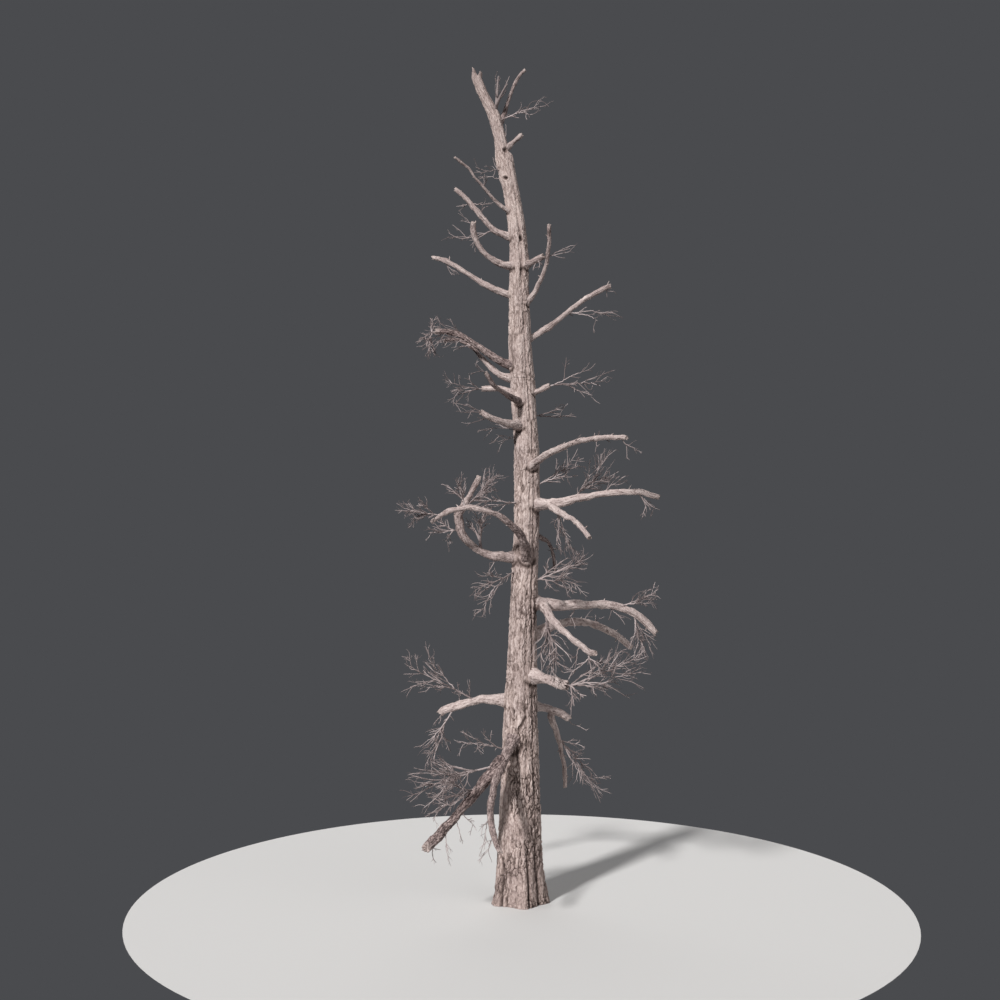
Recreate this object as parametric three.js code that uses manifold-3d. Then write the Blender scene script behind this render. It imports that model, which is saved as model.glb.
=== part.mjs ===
// A dead tree, standing bare: a tapering trunk broken off at its top, its limbs, and the twigs
// that are left on them. Millimetres, +Z up. The origin is the middle of the flat cut at ground
// level. Seen along +Y, the left limbs reach towards -X and the front limbs towards -Y.
import * as THREE from 'three';
import * as BufferGeometryUtils from 'three/addons/utils/BufferGeometryUtils.js';
import Module from 'manifold-3d';

const wasm = await Module();
wasm.setup();

// ---- driving dimensions ---------------------------------------------------------------------

const GAP = 0.3;                    // clearance between a limb and what carries it

// height above the ground, sideways lean of the middle, radius
const TRUNK_STATIONS = [
  [0, -10, 328], [150, -6, 300], [450, -10, 268], [1100, 0, 238], [2200, 8, 197],
  [3300, 34, 160], [4700, 80, 148], [5300, 82, 144], [6000, 42, 140], [6700, 0, 132],
  [7300, -12, 116], [7900, -20, 104], [8400, -88, 96], [9000, -200, 86], [9400, -305, 78],
  [9700, -455, 64], [9860, -515, 58],
];
const TRUNK_HEIGHT = 9860;          // to the foot of the splinters at the broken top
const TRUNK_RINGS = 26;
const RING_CROWDING = 1.25;         // rings lie closer together near the ground
const ROOT_LOBES = { count: 5, depth: 0.11, fade: 420, turn: 0.5 };
const OVAL = { depth: 0.03, turn: 0.6 };
const SPLINTERS = [{ angle: Math.PI, height: 150 }, { angle: 0.9, height: 75 }];
const SPLINTER_POWER = 4;           // higher is narrower
const BREAK_DEPTH = 60;             // the broken top is hollowed by this much

// Furrows that run up the bark, deepest between the root lobes: angle at the ground, how far
// each turns round the trunk by its top, depth at the ground and depth above the roots
const FURROWS = [
  { angle: -2.95, drift: 0.5, root: 34, depth: 9 }, { angle: -2.35, drift: 0.3, root: 26, depth: 8 },
  { angle: -1.19, drift: -0.25, root: 42, depth: 9 }, { angle: -0.70, drift: -0.6, root: 48, depth: 15 },
  { angle: 0.15, drift: 0.3, root: 36, depth: 10 }, { angle: 0.95, drift: -0.4, root: 44, depth: 13 },
  { angle: 1.75, drift: 0.3, root: 34, depth: 9 }, { angle: 2.55, drift: 0.2, root: 40, depth: 12 },
];
const FURROW = { width: 26, rootFade: 420, topFade: 7800 };

const LIMB_SIDES = 7;
const LIMB_STEP = 290;              // length of limb between two rings
const COLLAR = { swell: 0.4, fade: 70 };
const STEEP = 0.8;                  // steeper limbs measure their turn from the X axis

// A limb leaves its carrier's middle line, at a height on the trunk or at a share (at) of the
// carrying limb's length, and ends at tip. bow moves its middle off the straight line, and bend
// gives it an S. radii are those at its root and its tip. A stub is part of the trunk's solid.
const LIMBS = [
  { name: 'front_bough', height: 2080, tip: [-230, -1400, 940], bow: [-200, 0, -10],
    bend: [20, 0, 10], radii: [68, 28] },
  { name: 'front_bough_arm', on: 'front_bough', at: 0.25, tip: [-1080, -1000, 880],
    bow: [0, 0, -30], bend: [40, 0, 55], radii: [68, 50] },
  { name: 'left_bough_1', height: 2380, tip: [-970, 440, 2190], bow: [-15, 0, 95],
    bend: [-10, 0, 0], radii: [66, 44] },
  { name: 'left_bough_2', height: 4150, tip: [-750, -100, 4630], bow: [-120, 0, -205],
    bend: [15, 0, 5], radii: [58, 44] },
  { name: 'left_bough_2_rising', on: 'left_bough_2', at: 1, tip: [-490, 60, 5100],
    bow: [5, 0, -35], bend: [0, 0, 0], radii: [42, 32] },
  { name: 'left_bough_3', height: 4020, tip: [-1040, -500, 4550], bow: [225, -350, 345],
    bend: [60, 0, -40], radii: [50, 24] },
  { name: 'left_bough_4', height: 5710, tip: [-460, -400, 5840], bow: [-10, -80, -50],
    bend: [5, 0, 0], radii: [46, 35] },
  { name: 'left_bough_5', stub: true, height: 5970, tip: [-450, 250, 6160],
    bow: [10, 0, 80], bend: [0, 0, 10], radii: [42, 34] },
  { name: 'left_bough_6', height: 5950, tip: [-400, -650, 6270], bow: [-30, -100, -40],
    bend: [10, 0, 10], radii: [34, 25] },
  { name: 'left_bough_7', height: 6300, tip: [-930, 350, 6750], bow: [20, 40, -10],
    bend: [-30, 0, -90], radii: [44, 17] },
  { name: 'left_bough_8', height: 6410, tip: [-1010, 0, 6830], bow: [10, 0, 20],
    bend: [-20, 0, -50], radii: [46, 34] },
  { name: 'left_bough_9', height: 7270, tip: [-1060, 450, 7790], bow: [-10, 0, -25],
    bend: [20, 0, -50], radii: [40, 27] },
  { name: 'left_bough_10', height: 7640, tip: [-550, -150, 8120], bow: [-120, 0, -150],
    bend: [25, 0, -20], radii: [41, 30] },
  { name: 'left_bough_11', height: 7960, tip: [-780, 250, 8590], bow: [-30, 0, -85],
    bend: [-40, 0, -20], radii: [40, 28] },
  { name: 'left_bough_12', height: 8240, tip: [-770, -350, 8830], bow: [-20, 0, -20],
    bend: [-20, 0, -20], radii: [23, 13] },
  { name: 'right_bough_1', height: 2330, tip: [600, 450, 2120], bow: [0, 0, 60],
    radii: [58, 44] },
  { name: 'right_bough_1_hanging', on: 'right_bough_1', at: 0.6, tip: [570, 600, 1240],
    bow: [40, 30, 5], bend: [-10, 0, -10], radii: [38, 24] },
  { name: 'right_bough_2', height: 2720, tip: [540, -450, 2645], bow: [5, 0, 15],
    bend: [25, 0, 0], radii: [68, 56] },
  { name: 'right_bough_3', height: 3100, tip: [1430, 1000, 2940], bow: [60, 0, 280],
    bend: [10, 0, 20], radii: [62, 36] },
  { name: 'right_bough_4', height: 3640, tip: [1660, 350, 3180], bow: [20, 0, 135],
    bend: [0, 0, -95], radii: [70, 38] },
  { name: 'right_bough_4_fork', on: 'right_bough_4', at: 0.15, tip: [790, -1550, 3140],
    bow: [-35, 0, -65], bend: [-45, 0, 35], radii: [52, 27] },
  { name: 'right_bough_5', height: 4450, tip: [440, 600, 3910], bow: [100, 0, 95],
    bend: [10, 0, -30], radii: [30, 16] },
  { name: 'right_bough_6', height: 4770, tip: [1610, -500, 4840], bow: [-20, 0, 50],
    bend: [5, 0, -50], radii: [60, 30] },
  { name: 'right_bough_6_fork', on: 'right_bough_6', at: 0.17, tip: [770, -1100, 4390],
    bow: [10, 0, 30], bend: [15, 0, -30], radii: [40, 26] },
  { name: 'right_bough_7', height: 5160, tip: [1150, -1500, 5480], bow: [-20, 0, 140],
    bend: [-10, 0, 0], radii: [42, 25] },
  { name: 'right_bough_8', stub: true, height: 6040, tip: [360, -80, 6170],
    radii: [32, 26] },
  { name: 'right_bough_9', height: 6700, tip: [1110, 300, 7420], bow: [25, 0, 15],
    bend: [-20, 0, -50], radii: [37, 27] },
  { name: 'right_bough_10', height: 7080, tip: [340, -350, 8040], bow: [120, 0, -35],
    bend: [10, 0, 0], radii: [32, 20] },
  { name: 'top_bough', height: 9280, tip: [60, 150, 10000], bow: [-30, 0, 10],
    bend: [20, 0, -10], radii: [25, 19] },
  { name: 'stub_right', stub: true, height: 7580, tip: [280, -120, 7710], radii: [40, 36] },
  { name: 'stub_top', stub: true, height: 8990, tip: [20, -60, 9170], radii: [29, 25] },
];

// A spray of twigs leaves the trunk at a height, or a limb at a share (at) of its length, by one
// stem, and its leading twigs end at these places. Side twigs follow from the rule below.
const SPRAYS = [
  { name: 'twigs_crown', height: 9420, ends: [[-260, -150, 9850], [-150, -230, 9730]] },
  { name: 'twigs_crown_right', height: 9340, ends: [[250, -150, 9560], [80, -280, 9380]] },
  { name: 'twigs_left_11', on: 'left_bough_11', at: 0.85,
    ends: [[-390, 240, 8410], [-780, 340, 8400]] },
  { name: 'twigs_left_11_low', on: 'left_bough_11', at: 0.3,
    ends: [[-830, 350, 8010], [-600, 150, 7880]] },
  { name: 'twigs_left_8', on: 'left_bough_8',
    ends: [[-1070, 120, 6950], [-1180, -80, 6730], [-1060, -230, 6550]] },
  { name: 'twigs_left_5', on: 'left_bough_5',
    ends: [[-930, 420, 6250], [-800, 300, 6070], [-630, 180, 6300]] },
  { name: 'twigs_left_3', on: 'left_bough_3', at: 0.93,
    ends: [[-1370, -650, 4720], [-1250, -520, 4590], [-1140, -700, 4800]] },
  { name: 'twigs_left_3_upright', on: 'left_bough_3', at: 0.74, stem: 80,
    ends: [[-720, -760, 5030], [-830, -620, 4960], [-650, -560, 4970]] },
  { name: 'twigs_left_2_inner', on: 'left_bough_2', at: 0.5, stem: 90,
    ends: [[-430, -150, 4640], [-600, 60, 4520], [-500, -260, 4580]] },
  { name: 'twigs_left_2_outer', on: 'left_bough_2', at: 0.85,
    ends: [[-1080, 0, 4420], [-880, -250, 4320], [-1000, 160, 4550]] },
  { name: 'twigs_left_2_rising', on: 'left_bough_2_rising', at: 0.12, stem: 110,
    ends: [[-310, 60, 5130], [-370, -160, 4970], [-410, 120, 4830]] },
  { name: 'twigs_trunk_left_mid', height: 4790, ends: [[-500, -260, 4800], [-430, -120, 4700]] },
  { name: 'twigs_trunk_left', height: 4020, stem: 170,
    ends: [[-550, -300, 3440], [-560, -150, 3720], [-420, -420, 3950]] },
  { name: 'twigs_left_1_upper', on: 'left_bough_1', at: 0.55, stem: 230,
    ends: [[-1410, 300, 2820], [-1110, 120, 2900], [-1200, 420, 2520]] },
  { name: 'twigs_left_1_lower', on: 'left_bough_1', at: 0.82, stem: 180,
    ends: [[-1140, 470, 1550], [-1160, 330, 1840], [-1060, 560, 1780]] },
  { name: 'twigs_front', on: 'front_bough', at: 0.2, stem: 100,
    ends: [[-680, -600, 1980], [-440, -430, 2080]] },
  { name: 'twigs_front_arm_upper', on: 'front_bough_arm', at: 0.13, stem: 230,
    ends: [[-1200, -900, 1520], [-920, -620, 1800], [-990, -1000, 1710], [-940, -500, 1350]] },
  { name: 'twigs_front_arm', on: 'front_bough_arm', at: 0.36,
    ends: [[-930, -640, 1350], [-950, -900, 1280], [-840, -1000, 1660]] },
  { name: 'twigs_right_9', on: 'right_bough_9', at: 0.5,
    ends: [[1140, 350, 7120], [940, 50, 6960]] },
  { name: 'twigs_right_8', on: 'right_bough_8',
    ends: [[1090, -250, 6220], [790, -60, 6360], [740, -420, 6070]] },
  { name: 'twigs_trunk_right', height: 5800, ends: [[630, 300, 5810], [520, 120, 5940]] },
  { name: 'twigs_right_6', on: 'right_bough_6', at: 0.85,
    ends: [[1640, -330, 4690], [1460, -560, 4670]] },
  { name: 'twigs_right_6_upper', on: 'right_bough_6', at: 0.36, stem: 90,
    ends: [[1020, -350, 5320], [1050, -50, 5090], [810, -420, 5160]] },
  { name: 'twigs_trunk_right_mid', height: 4920, ends: [[690, -250, 5220], [550, -80, 5190]] },
  { name: 'twigs_right_6_under', on: 'right_bough_6', at: 0.24,
    ends: [[630, 100, 4190], [430, -60, 4260]] },
  { name: 'twigs_right_4_upper', on: 'right_bough_4', at: 0.7,
    ends: [[1670, 320, 3680], [1570, 120, 3560]] },
  { name: 'twigs_right_4_lower', on: 'right_bough_4', at: 0.82,
    ends: [[1530, 300, 2920], [1360, 150, 3110], [1630, 480, 3080]] },
  { name: 'twigs_trunk_right_low', height: 3800,
    ends: [[740, -200, 4120], [660, -380, 3820], [500, -60, 4070]] },
  { name: 'twigs_right_4_fork', on: 'right_bough_4_fork', at: 0.85,
    ends: [[540, -1350, 2910], [780, -1250, 2890], [930, -1450, 3020]] },
  { name: 'twigs_right_4_under', on: 'right_bough_4_fork', at: 0.1, stem: 120,
    ends: [[380, -480, 2780], [240, -330, 2930], [450, -600, 2900]] },
  { name: 'twigs_right_2', on: 'right_bough_2',
    ends: [[1430, -650, 3080], [1260, -850, 2810], [1030, -380, 2580], [580, -520, 2360],
      [720, -750, 2540], [1150, -300, 3010]] },
  { name: 'twigs_right_1', on: 'right_bough_1_hanging', at: 0.35,
    ends: [[840, 620, 1290], [1020, 800, 1250], [750, 480, 1790]] },
];

const TWIG_SIDES = 3;
const STEM = { beyond: 50, sunk: 20, radius: 10 };   // stem length outside its carrier
const LEADER = { step: 170, steps: [2, 4], radius: 8, tipRadius: 0, wobble: 0.055, bow: 0.08 };
const SIDE_TWIG = {
  steps: 2, spacing: 240, most: 4, first: 0.25, last: 0.92, unevenness: 0.8,
  angle: [35, 65], share: 0.42, fade: 0.55, spread: [0.75, 1.25], shortest: 70, curl: 0.35,
  bow: 0.1, radius: 5, tipRadius: 0, wobble: 0.05,
};
const TURN = 2.4;                   // about 137 degrees round the leader from twig to twig
const SPACE_MARGIN = 130;           // how far a spray's space goes past its leaders' ends
const TWIG_CLEARANCE = 3;
const CHECKS = { alongTwig: 8, pastTwigs: 16, limbStep: 25, trunkStep: 40, trunkMargin: 1.15 };
const SLIVER = 1.5;                 // edges shorter than this, where twigs join, are taken out
const SEAM = 0.1;                   // and shorter than this, where a seat is cut
const FIRST_SEED = 401;

const COLOURS = { bark: '#8d7d78', boughs: '#a59591', twigs: '#85746e' };
const ROUGHNESS = 0.92;

// ---- small helpers --------------------------------------------------------------------------

const vector = (place) => new THREE.Vector3(...place);
const mix = (a, b, share) => a + (b - a) * share;
const radians = THREE.MathUtils.degToRad;

// Evenly spread numbers from 0 to 1, always the same for one seed.
function seededRandom(seed) {
  let state = seed | 0;
  return () => {
    state = (state + 0x6D2B79F5) | 0;
    let t = Math.imul(state ^ (state >>> 15), 1 | state);
    t = (t + Math.imul(t ^ (t >>> 7), 61 | t)) ^ t;
    return ((t ^ (t >>> 14)) >>> 0) / 4294967296;
  };
}

// A smooth curve through one column of the trunk's stations (cubic Hermite).
function trunkValue(height, column) {
  const last = TRUNK_STATIONS.length - 1;
  const slope = (i) => {
    const a = TRUNK_STATIONS[Math.max(i - 1, 0)];
    const b = TRUNK_STATIONS[Math.min(i + 1, last)];
    return (b[column] - a[column]) / (b[0] - a[0]);
  };
  let i = 0;
  while (i < last - 1 && height > TRUNK_STATIONS[i + 1][0]) i += 1;
  const [a, b] = [TRUNK_STATIONS[i], TRUNK_STATIONS[i + 1]];
  const span = b[0] - a[0];
  const t = Math.min(Math.max((height - a[0]) / span, 0), 1);
  const rise = t * t * (3 - 2 * t);
  return mix(a[column], b[column], rise)
    + span * slope(i) * t * (1 - t) * (1 - t)
    - span * slope(i + 1) * t * t * (1 - t);
}

const trunkMiddle = (height) => new THREE.Vector3(trunkValue(height, 1), 0, height);

// ---- closed meshes and solids ---------------------------------------------------------------

// A closed three.js mesh as a manifold solid: only its places count, so equal ones are merged.
function toSolid(geometry) {
  const bare = geometry.clone();
  bare.deleteAttribute('normal');
  bare.deleteAttribute('uv');
  const merged = BufferGeometryUtils.mergeVertices(bare, 0.001);
  return new wasm.Manifold(new wasm.Mesh({
    numProp: 3,
    vertProperties: new Float32Array(merged.attributes.position.array),
    triVerts: new Uint32Array(merged.index.array),
  }));
}

// The largest separate piece of a solid, as geometry.
function toGeometry(solid) {
  const pieces = solid.decompose();
  pieces.sort((a, b) => b.volume() - a.volume());
  const mesh = pieces[0].getMesh();
  const geometry = new THREE.BufferGeometry();
  geometry.setAttribute('position', new THREE.BufferAttribute(mesh.vertProperties, 3));
  geometry.setIndex(new THREE.BufferAttribute(mesh.triVerts, 1));
  geometry.computeVertexNormals();
  return geometry;
}

// A cylinder bent along a curve. places are the shares of the curve that carry a ring, and
// radiusAt gives the radius at each share. The frames are carried along without twisting.
function bentCylinder(curve, places, radiusAt, sides) {
  const rings = places.length - 1;
  const top = radiusAt(places[rings]) > 0 ? 1 : 0;
  const geometry = new THREE.CylinderGeometry(top, 1, 1, sides, rings);
  const frames = [];
  const across = new THREE.Vector3(0, 0, 1);
  for (const place of places) {
    const along = curve.getTangent(place).normalize();
    if (!frames.length && Math.abs(along.z) > STEEP) across.set(1, 0, 0);
    across.addScaledVector(along, -across.dot(along)).normalize();
    frames.push({
      middle: curve.getPoint(place),
      across: across.clone(),
      third: across.clone().cross(along),
      radius: radiusAt(place),
    });
  }
  const position = geometry.attributes.position;
  const point = new THREE.Vector3();
  for (let i = 0; i < position.count; i += 1) {
    point.fromBufferAttribute(position, i);
    const frame = frames[Math.round((point.y + 0.5) * rings)];
    const slant = mix(1, top, point.y + 0.5) || 1;
    const [x, z] = [point.x * frame.radius / slant, point.z * frame.radius / slant];
    point.copy(frame.middle).addScaledVector(frame.across, x).addScaledVector(frame.third, z);
    position.setXYZ(i, point.x, point.y, point.z);
  }
  return geometry;
}

// ---- trunk ----------------------------------------------------------------------------------

// Radius at a height and an angle: the stations' radius, slightly oval, with root lobes that
// fade upwards.
function trunkRadius(angle, height) {
  const lobes = ROOT_LOBES.depth * Math.exp(-height / ROOT_LOBES.fade)
    * Math.cos(ROOT_LOBES.count * angle + ROOT_LOBES.turn);
  const oval = OVAL.depth * Math.cos(2 * angle + OVAL.turn);
  return trunkValue(height, 2) * (1 + lobes + oval);
}

// The angle of a furrow at a height, and its depth there: deepest at the ground, then shallow,
// and fading out towards the broken top.
const furrowAngle = (furrow, height) => furrow.angle + furrow.drift * height / TRUNK_HEIGHT;

function furrowDepth(furrow, height) {
  const root = Math.exp(-((height / FURROW.rootFade) ** 2));
  const fade = Math.min(1, (TRUNK_HEIGHT - height) / (TRUNK_HEIGHT - FURROW.topFade));
  return furrow.root * root + furrow.depth * (1 - root) * fade;
}

// The trunk's columns at a height, as angle and depth: each furrow's near edge, its bottom and
// its far edge, then the middle of the ridge before the next furrow.
function trunkColumns(height) {
  const columns = [];
  const half = FURROW.width / trunkValue(height, 2);
  FURROWS.forEach((furrow, i) => {
    const angle = furrowAngle(furrow, height);
    const next = FURROWS[(i + 1) % FURROWS.length];
    const following = furrowAngle(next, height) + (i + 1 < FURROWS.length ? 0 : 2 * Math.PI);
    columns.push({ angle: angle - half, depth: 0 });
    columns.push({ angle, depth: furrowDepth(furrow, height) });
    columns.push({ angle: angle + half, depth: 0 });
    columns.push({ angle: (angle + following) / 2, depth: 0 });
  });
  return columns;
}

// How far the splinters stand above the break at an angle.
function splinterHeight(angle) {
  return SPLINTERS.reduce((height, splinter) => {
    const near = Math.cos((angle - splinter.angle) / 2) ** 2;
    return height + splinter.height * near ** SPLINTER_POWER;
  }, 0);
}

function trunkSolid(grow) {
  const sides = FURROWS.length * 4;
  const geometry = new THREE.CylinderGeometry(1, 1, 1, sides, TRUNK_RINGS);
  const position = geometry.attributes.position;
  for (let i = 0; i < position.count; i += 1) {
    const [x, y, z] = [position.getX(i), position.getY(i), position.getZ(i)];
    const reach = Math.hypot(x, z);
    const share = y + 0.5;
    const height = TRUNK_HEIGHT * share ** RING_CROWDING;
    const column = Math.round(Math.atan2(-z, x) / (2 * Math.PI) * sides + sides) % sides;
    const { angle, depth } = trunkColumns(height)[column];
    const radius = (trunkRadius(angle, height) - depth + grow) * reach;
    const top = share > 0.999 ? mix(-BREAK_DEPTH, splinterHeight(angle), reach) : 0;
    position.setXYZ(i, trunkValue(height, 1) + radius * Math.cos(angle),
      radius * Math.sin(angle), height + top);
  }
  return toSolid(geometry);
}

// ---- limbs ----------------------------------------------------------------------------------

class LimbCurve extends THREE.Curve {
  constructor(root, { tip, bow = [0, 0, 0], bend = [0, 0, 0] }) {
    super();
    this.root = root;
    this.tip = vector(tip);
    this.bow = vector(bow);
    this.bend = vector(bend);
  }

  getPoint(t) {
    return this.root.clone().lerp(this.tip, t)
      .addScaledVector(this.bow, 4 * t * (1 - t))
      .addScaledVector(this.bend, 10 * t * (1 - t) * (1 - 2 * t));
  }
}

// A limb as its curve, its length, and its radius: an even taper, and a collar that swells it
// where it leaves its carrier.
function planLimb(limb, carriers) {
  const carrier = carriers[limb.on];
  const root = carrier ? carrier.curve.getPoint(limb.at) : trunkMiddle(limb.height);
  const hidden = carrier ? carrier.radiusAt(limb.at) : trunkValue(limb.height, 2);
  const curve = new LimbCurve(root, limb);
  const length = curve.getLength();
  const radiusAt = (t) => {
    const outside = Math.max(t * length - hidden, 0);
    const collar = 1 + COLLAR.swell * Math.exp(-outside / COLLAR.fade);
    return mix(limb.radii[0], limb.radii[1], t) * collar;
  };
  const splitAtBend = limb.on && limb.at === 1;
  const plain = (t) => mix(limb.radii[0], limb.radii[1], t);
  return { ...limb, curve, length, hidden, radiusAt: splitAtBend ? plain : radiusAt };
}

function limbSolid(plan, grow) {
  const first = plan.hidden / plan.length;
  const near = (plan.hidden + COLLAR.fade) / plan.length;
  const rings = Math.max(2, Math.round(plan.length * (1 - near) / LIMB_STEP));
  const places = [0, first, near];
  for (let i = 1; i <= rings; i += 1) places.push(mix(near, 1, i / rings));
  if (grow) places.push(1 + grow / plan.length);
  return toSolid(bentCylinder(plan.curve, places, (t) => plan.radiusAt(t) + grow, LIMB_SIDES));
}

// ---- twigs ----------------------------------------------------------------------------------

// A gnarled path: straight from start to end, bowed aside, each inner point pushed off the
// line at random. Points go from start to end.
function gnarledPath(start, end, bow, steps, wobble, random) {
  const length = start.distanceTo(end);
  const points = [start.clone()];
  for (let k = 1; k <= steps; k += 1) {
    const t = k / steps;
    const point = start.clone().lerp(end, t).addScaledVector(bow, 4 * t * (1 - t));
    const push = new THREE.Vector3(random() - 0.5, random() - 0.5, random() - 0.5);
    if (k < steps) point.addScaledVector(push, 2 * wobble * length);
    points.push(point);
  }
  return points;
}

// The point and direction at a share of the way along a path of even steps.
function alongPath(points, share) {
  const steps = points.length - 1;
  const i = Math.min(Math.floor(share * steps), steps - 1);
  const place = points[i].clone().lerp(points[i + 1], share * steps - i);
  const along = points[i + 1].clone().sub(points[i]).normalize();
  return { place, along };
}

// The side twigs of one leader. Each leaves at an angle, turned on round the leader from the
// last one, shorter towards the leader's end, and curls back towards the leader's direction.
function sideTwigs(leader, random) {
  const length = leader.points[0].distanceTo(leader.points.at(-1));
  const count = Math.min(SIDE_TWIG.most, Math.max(1, Math.round(length / SIDE_TWIG.spacing)));
  const twigs = [];
  let turn = random() * Math.PI * 2;
  for (let k = 0; k < count; k += 1) {
    const share = mix(SIDE_TWIG.first, SIDE_TWIG.last, (k + random() * SIDE_TWIG.unevenness) / count);
    const { place, along } = alongPath(leader.points, share);
    turn += TURN + (random() - 0.5);
    const angle = radians(mix(...SIDE_TWIG.angle, random()));
    const aside = new THREE.Vector3(0, 0, 1).cross(along).normalize();
    aside.applyAxisAngle(along, turn);
    const direction = along.clone().multiplyScalar(Math.cos(angle));
    direction.addScaledVector(aside, Math.sin(angle));
    const full = length * SIDE_TWIG.share * (1 - SIDE_TWIG.fade * share);
    const reach = Math.max(full * mix(...SIDE_TWIG.spread, random()), SIDE_TWIG.shortest);
    const end = place.clone().addScaledVector(direction, reach * (1 - SIDE_TWIG.curl));
    end.addScaledVector(along, reach * SIDE_TWIG.curl);
    const bow = aside.clone().multiplyScalar(reach * SIDE_TWIG.bow);
    const points = gnarledPath(place, end, bow, SIDE_TWIG.steps, SIDE_TWIG.wobble, random);
    twigs.push({ points, radii: [SIDE_TWIG.radius, SIDE_TWIG.tipRadius] });
  }
  return twigs;
}

// A twig as a three-sided solid, tapering from its foot to its end.
function twigSolid({ points, radii }) {
  const curve = new THREE.CatmullRomCurve3(points);
  const places = points.map((_, i) => i / (points.length - 1));
  return toSolid(bentCylinder(curve, places, (t) => mix(...radii, t), TWIG_SIDES));
}

// The ball that a spray keeps to: round the middle of its fork and its leaders' ends.
function spraySpace(fork, ends) {
  const middle = fork.clone();
  for (const end of ends) middle.add(end);
  middle.divideScalar(ends.length + 1);
  const far = Math.max(...[fork, ...ends].map((point) => point.distanceTo(middle)));
  return new THREE.Sphere(middle, far + SPACE_MARGIN);
}

// Points along a twig with its radius there, for measuring clearances.
function samples({ points, radii }, count) {
  const list = [];
  for (let k = 0; k <= count; k += 1) {
    list.push({ place: alongPath(points, k / count).place, radius: mix(...radii, k / count) });
  }
  return list;
}

// True where no sample comes nearer to an obstacle than the clearance.
function isClear(list, obstacles) {
  return list.every(({ place, radius }) => obstacles.every((obstacle) => {
    const room = radius + obstacle.radius + TWIG_CLEARANCE;
    return place.distanceToSquared(obstacle.place) > room * room;
  }));
}

// A spray: one stem out of its carrier, leaders from the stem's end, and their side twigs.
// A twig that leaves the spray's space, or touches a limb or another spray, is skipped.
function planSpray(spray, index, carriers, obstacles) {
  const random = seededRandom(FIRST_SEED + index);
  const carrier = carriers[spray.on];
  const at = spray.at ?? 1;
  const ends = spray.ends.map(vector);
  const start = carrier ? carrier.curve.getPoint(at) : trunkMiddle(spray.height);
  const cover = carrier ? carrier.radiusAt(at) : trunkValue(spray.height, 2);
  const mean = ends.reduce((sum, end) => sum.add(end), new THREE.Vector3());
  const out = mean.divideScalar(ends.length).sub(start).normalize();
  const fromTip = carrier && at === 1;
  if (fromTip) out.add(carrier.curve.getTangent(1).normalize()).normalize();
  const beyond = spray.stem ?? STEM.beyond;
  const fork = start.clone().addScaledVector(out, (fromTip ? 0 : cover) + beyond);
  const space = spraySpace(fork, ends);
  const foot = start.clone().addScaledVector(out, fromTip ? -STEM.sunk : 0);
  const twigs = [{ points: [foot, fork], radii: [STEM.radius, STEM.radius * 0.9] }];
  for (const end of ends) {
    const bow = out.clone().multiplyScalar(fork.distanceTo(end) * LEADER.bow);
    const wanted = Math.round(fork.distanceTo(end) / LEADER.step);
    const steps = THREE.MathUtils.clamp(wanted, ...LEADER.steps);
    const points = gnarledPath(fork, end, bow, steps, LEADER.wobble, random);
    const leader = { points, radii: [LEADER.radius, LEADER.tipRadius] };
    twigs.push(leader);
    for (const twig of sideTwigs(leader, random)) {
      const list = samples(twig, CHECKS.alongTwig);
      const inside = list.every(({ place }) => space.containsPoint(place));
      if (inside && isClear(list, obstacles)) twigs.push(twig);
    }
  }
  return { ...spray, carrier, twigs };
}

function limbObstacles(plan) {
  const count = Math.ceil(plan.length / CHECKS.limbStep);
  return Array.from({ length: count + 1 }, (_, k) => ({
    place: plan.curve.getPoint(k / count),
    radius: plan.radiusAt(k / count),
  }));
}

function trunkObstacles() {
  const step = CHECKS.trunkStep;
  return Array.from({ length: Math.ceil(TRUNK_HEIGHT / step) }, (_, k) => ({
    place: trunkMiddle(k * step),
    radius: trunkValue(k * step, 2) * CHECKS.trunkMargin,
  }));
}

// ---- assembly -------------------------------------------------------------------------------

const tree = new THREE.Group();

function addPart(name, solid, colour) {
  const material = new THREE.MeshStandardMaterial({ color: colour, roughness: ROUGHNESS });
  const mesh = new THREE.Mesh(toGeometry(solid), material);
  mesh.name = name;
  tree.add(mesh);
}

const plans = {};
for (const limb of LIMBS) plans[limb.name] = planLimb(limb, plans);
const limbs = Object.values(plans);

// The trunk with its stubs, as it is or grown to cut what it carries.
function carryingTrunk(grow) {
  const stubs = limbs.filter((plan) => plan.stub).map((plan) => limbSolid(plan, grow));
  return wasm.Manifold.union([trunkSolid(grow), ...stubs]);
}

const grownTrunk = carryingTrunk(GAP);
const grownCarrier = (name) => (plans[name] && !plans[name].stub
  ? limbSolid(plans[name], GAP).add(grownTrunk)
  : grownTrunk);

// A limb or spray cut clear of its carrier, without the slivers the cut leaves.
function seated(solid, on) {
  return solid.subtract(grownCarrier(on)).simplify(SEAM);
}

addPart('trunk', carryingTrunk(0).simplify(SEAM), COLOURS.bark);
for (const plan of limbs.filter((limb) => !limb.stub)) {
  addPart(plan.name, seated(limbSolid(plan, 0), plan.on), COLOURS.boughs);
}

const obstacles = [...trunkObstacles(), ...limbs.flatMap(limbObstacles)];
SPRAYS.forEach((spray, index) => {
  const plan = planSpray(spray, index, plans, obstacles);
  const solids = plan.twigs.map(twigSolid);
  const joined = wasm.Manifold.union(solids).simplify(SLIVER);
  addPart(spray.name, seated(joined, spray.on), COLOURS.twigs);
  for (const twig of plan.twigs) obstacles.push(...samples(twig, CHECKS.pastTwigs));
});

export default tree;
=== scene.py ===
"""A dead tree, standing bare: bark with its relief, weathered boughs, and every twig left on them.

Tables and growth rules are in millimetres, as in the part's source. Meshes are in metres.
"""
import math

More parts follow.
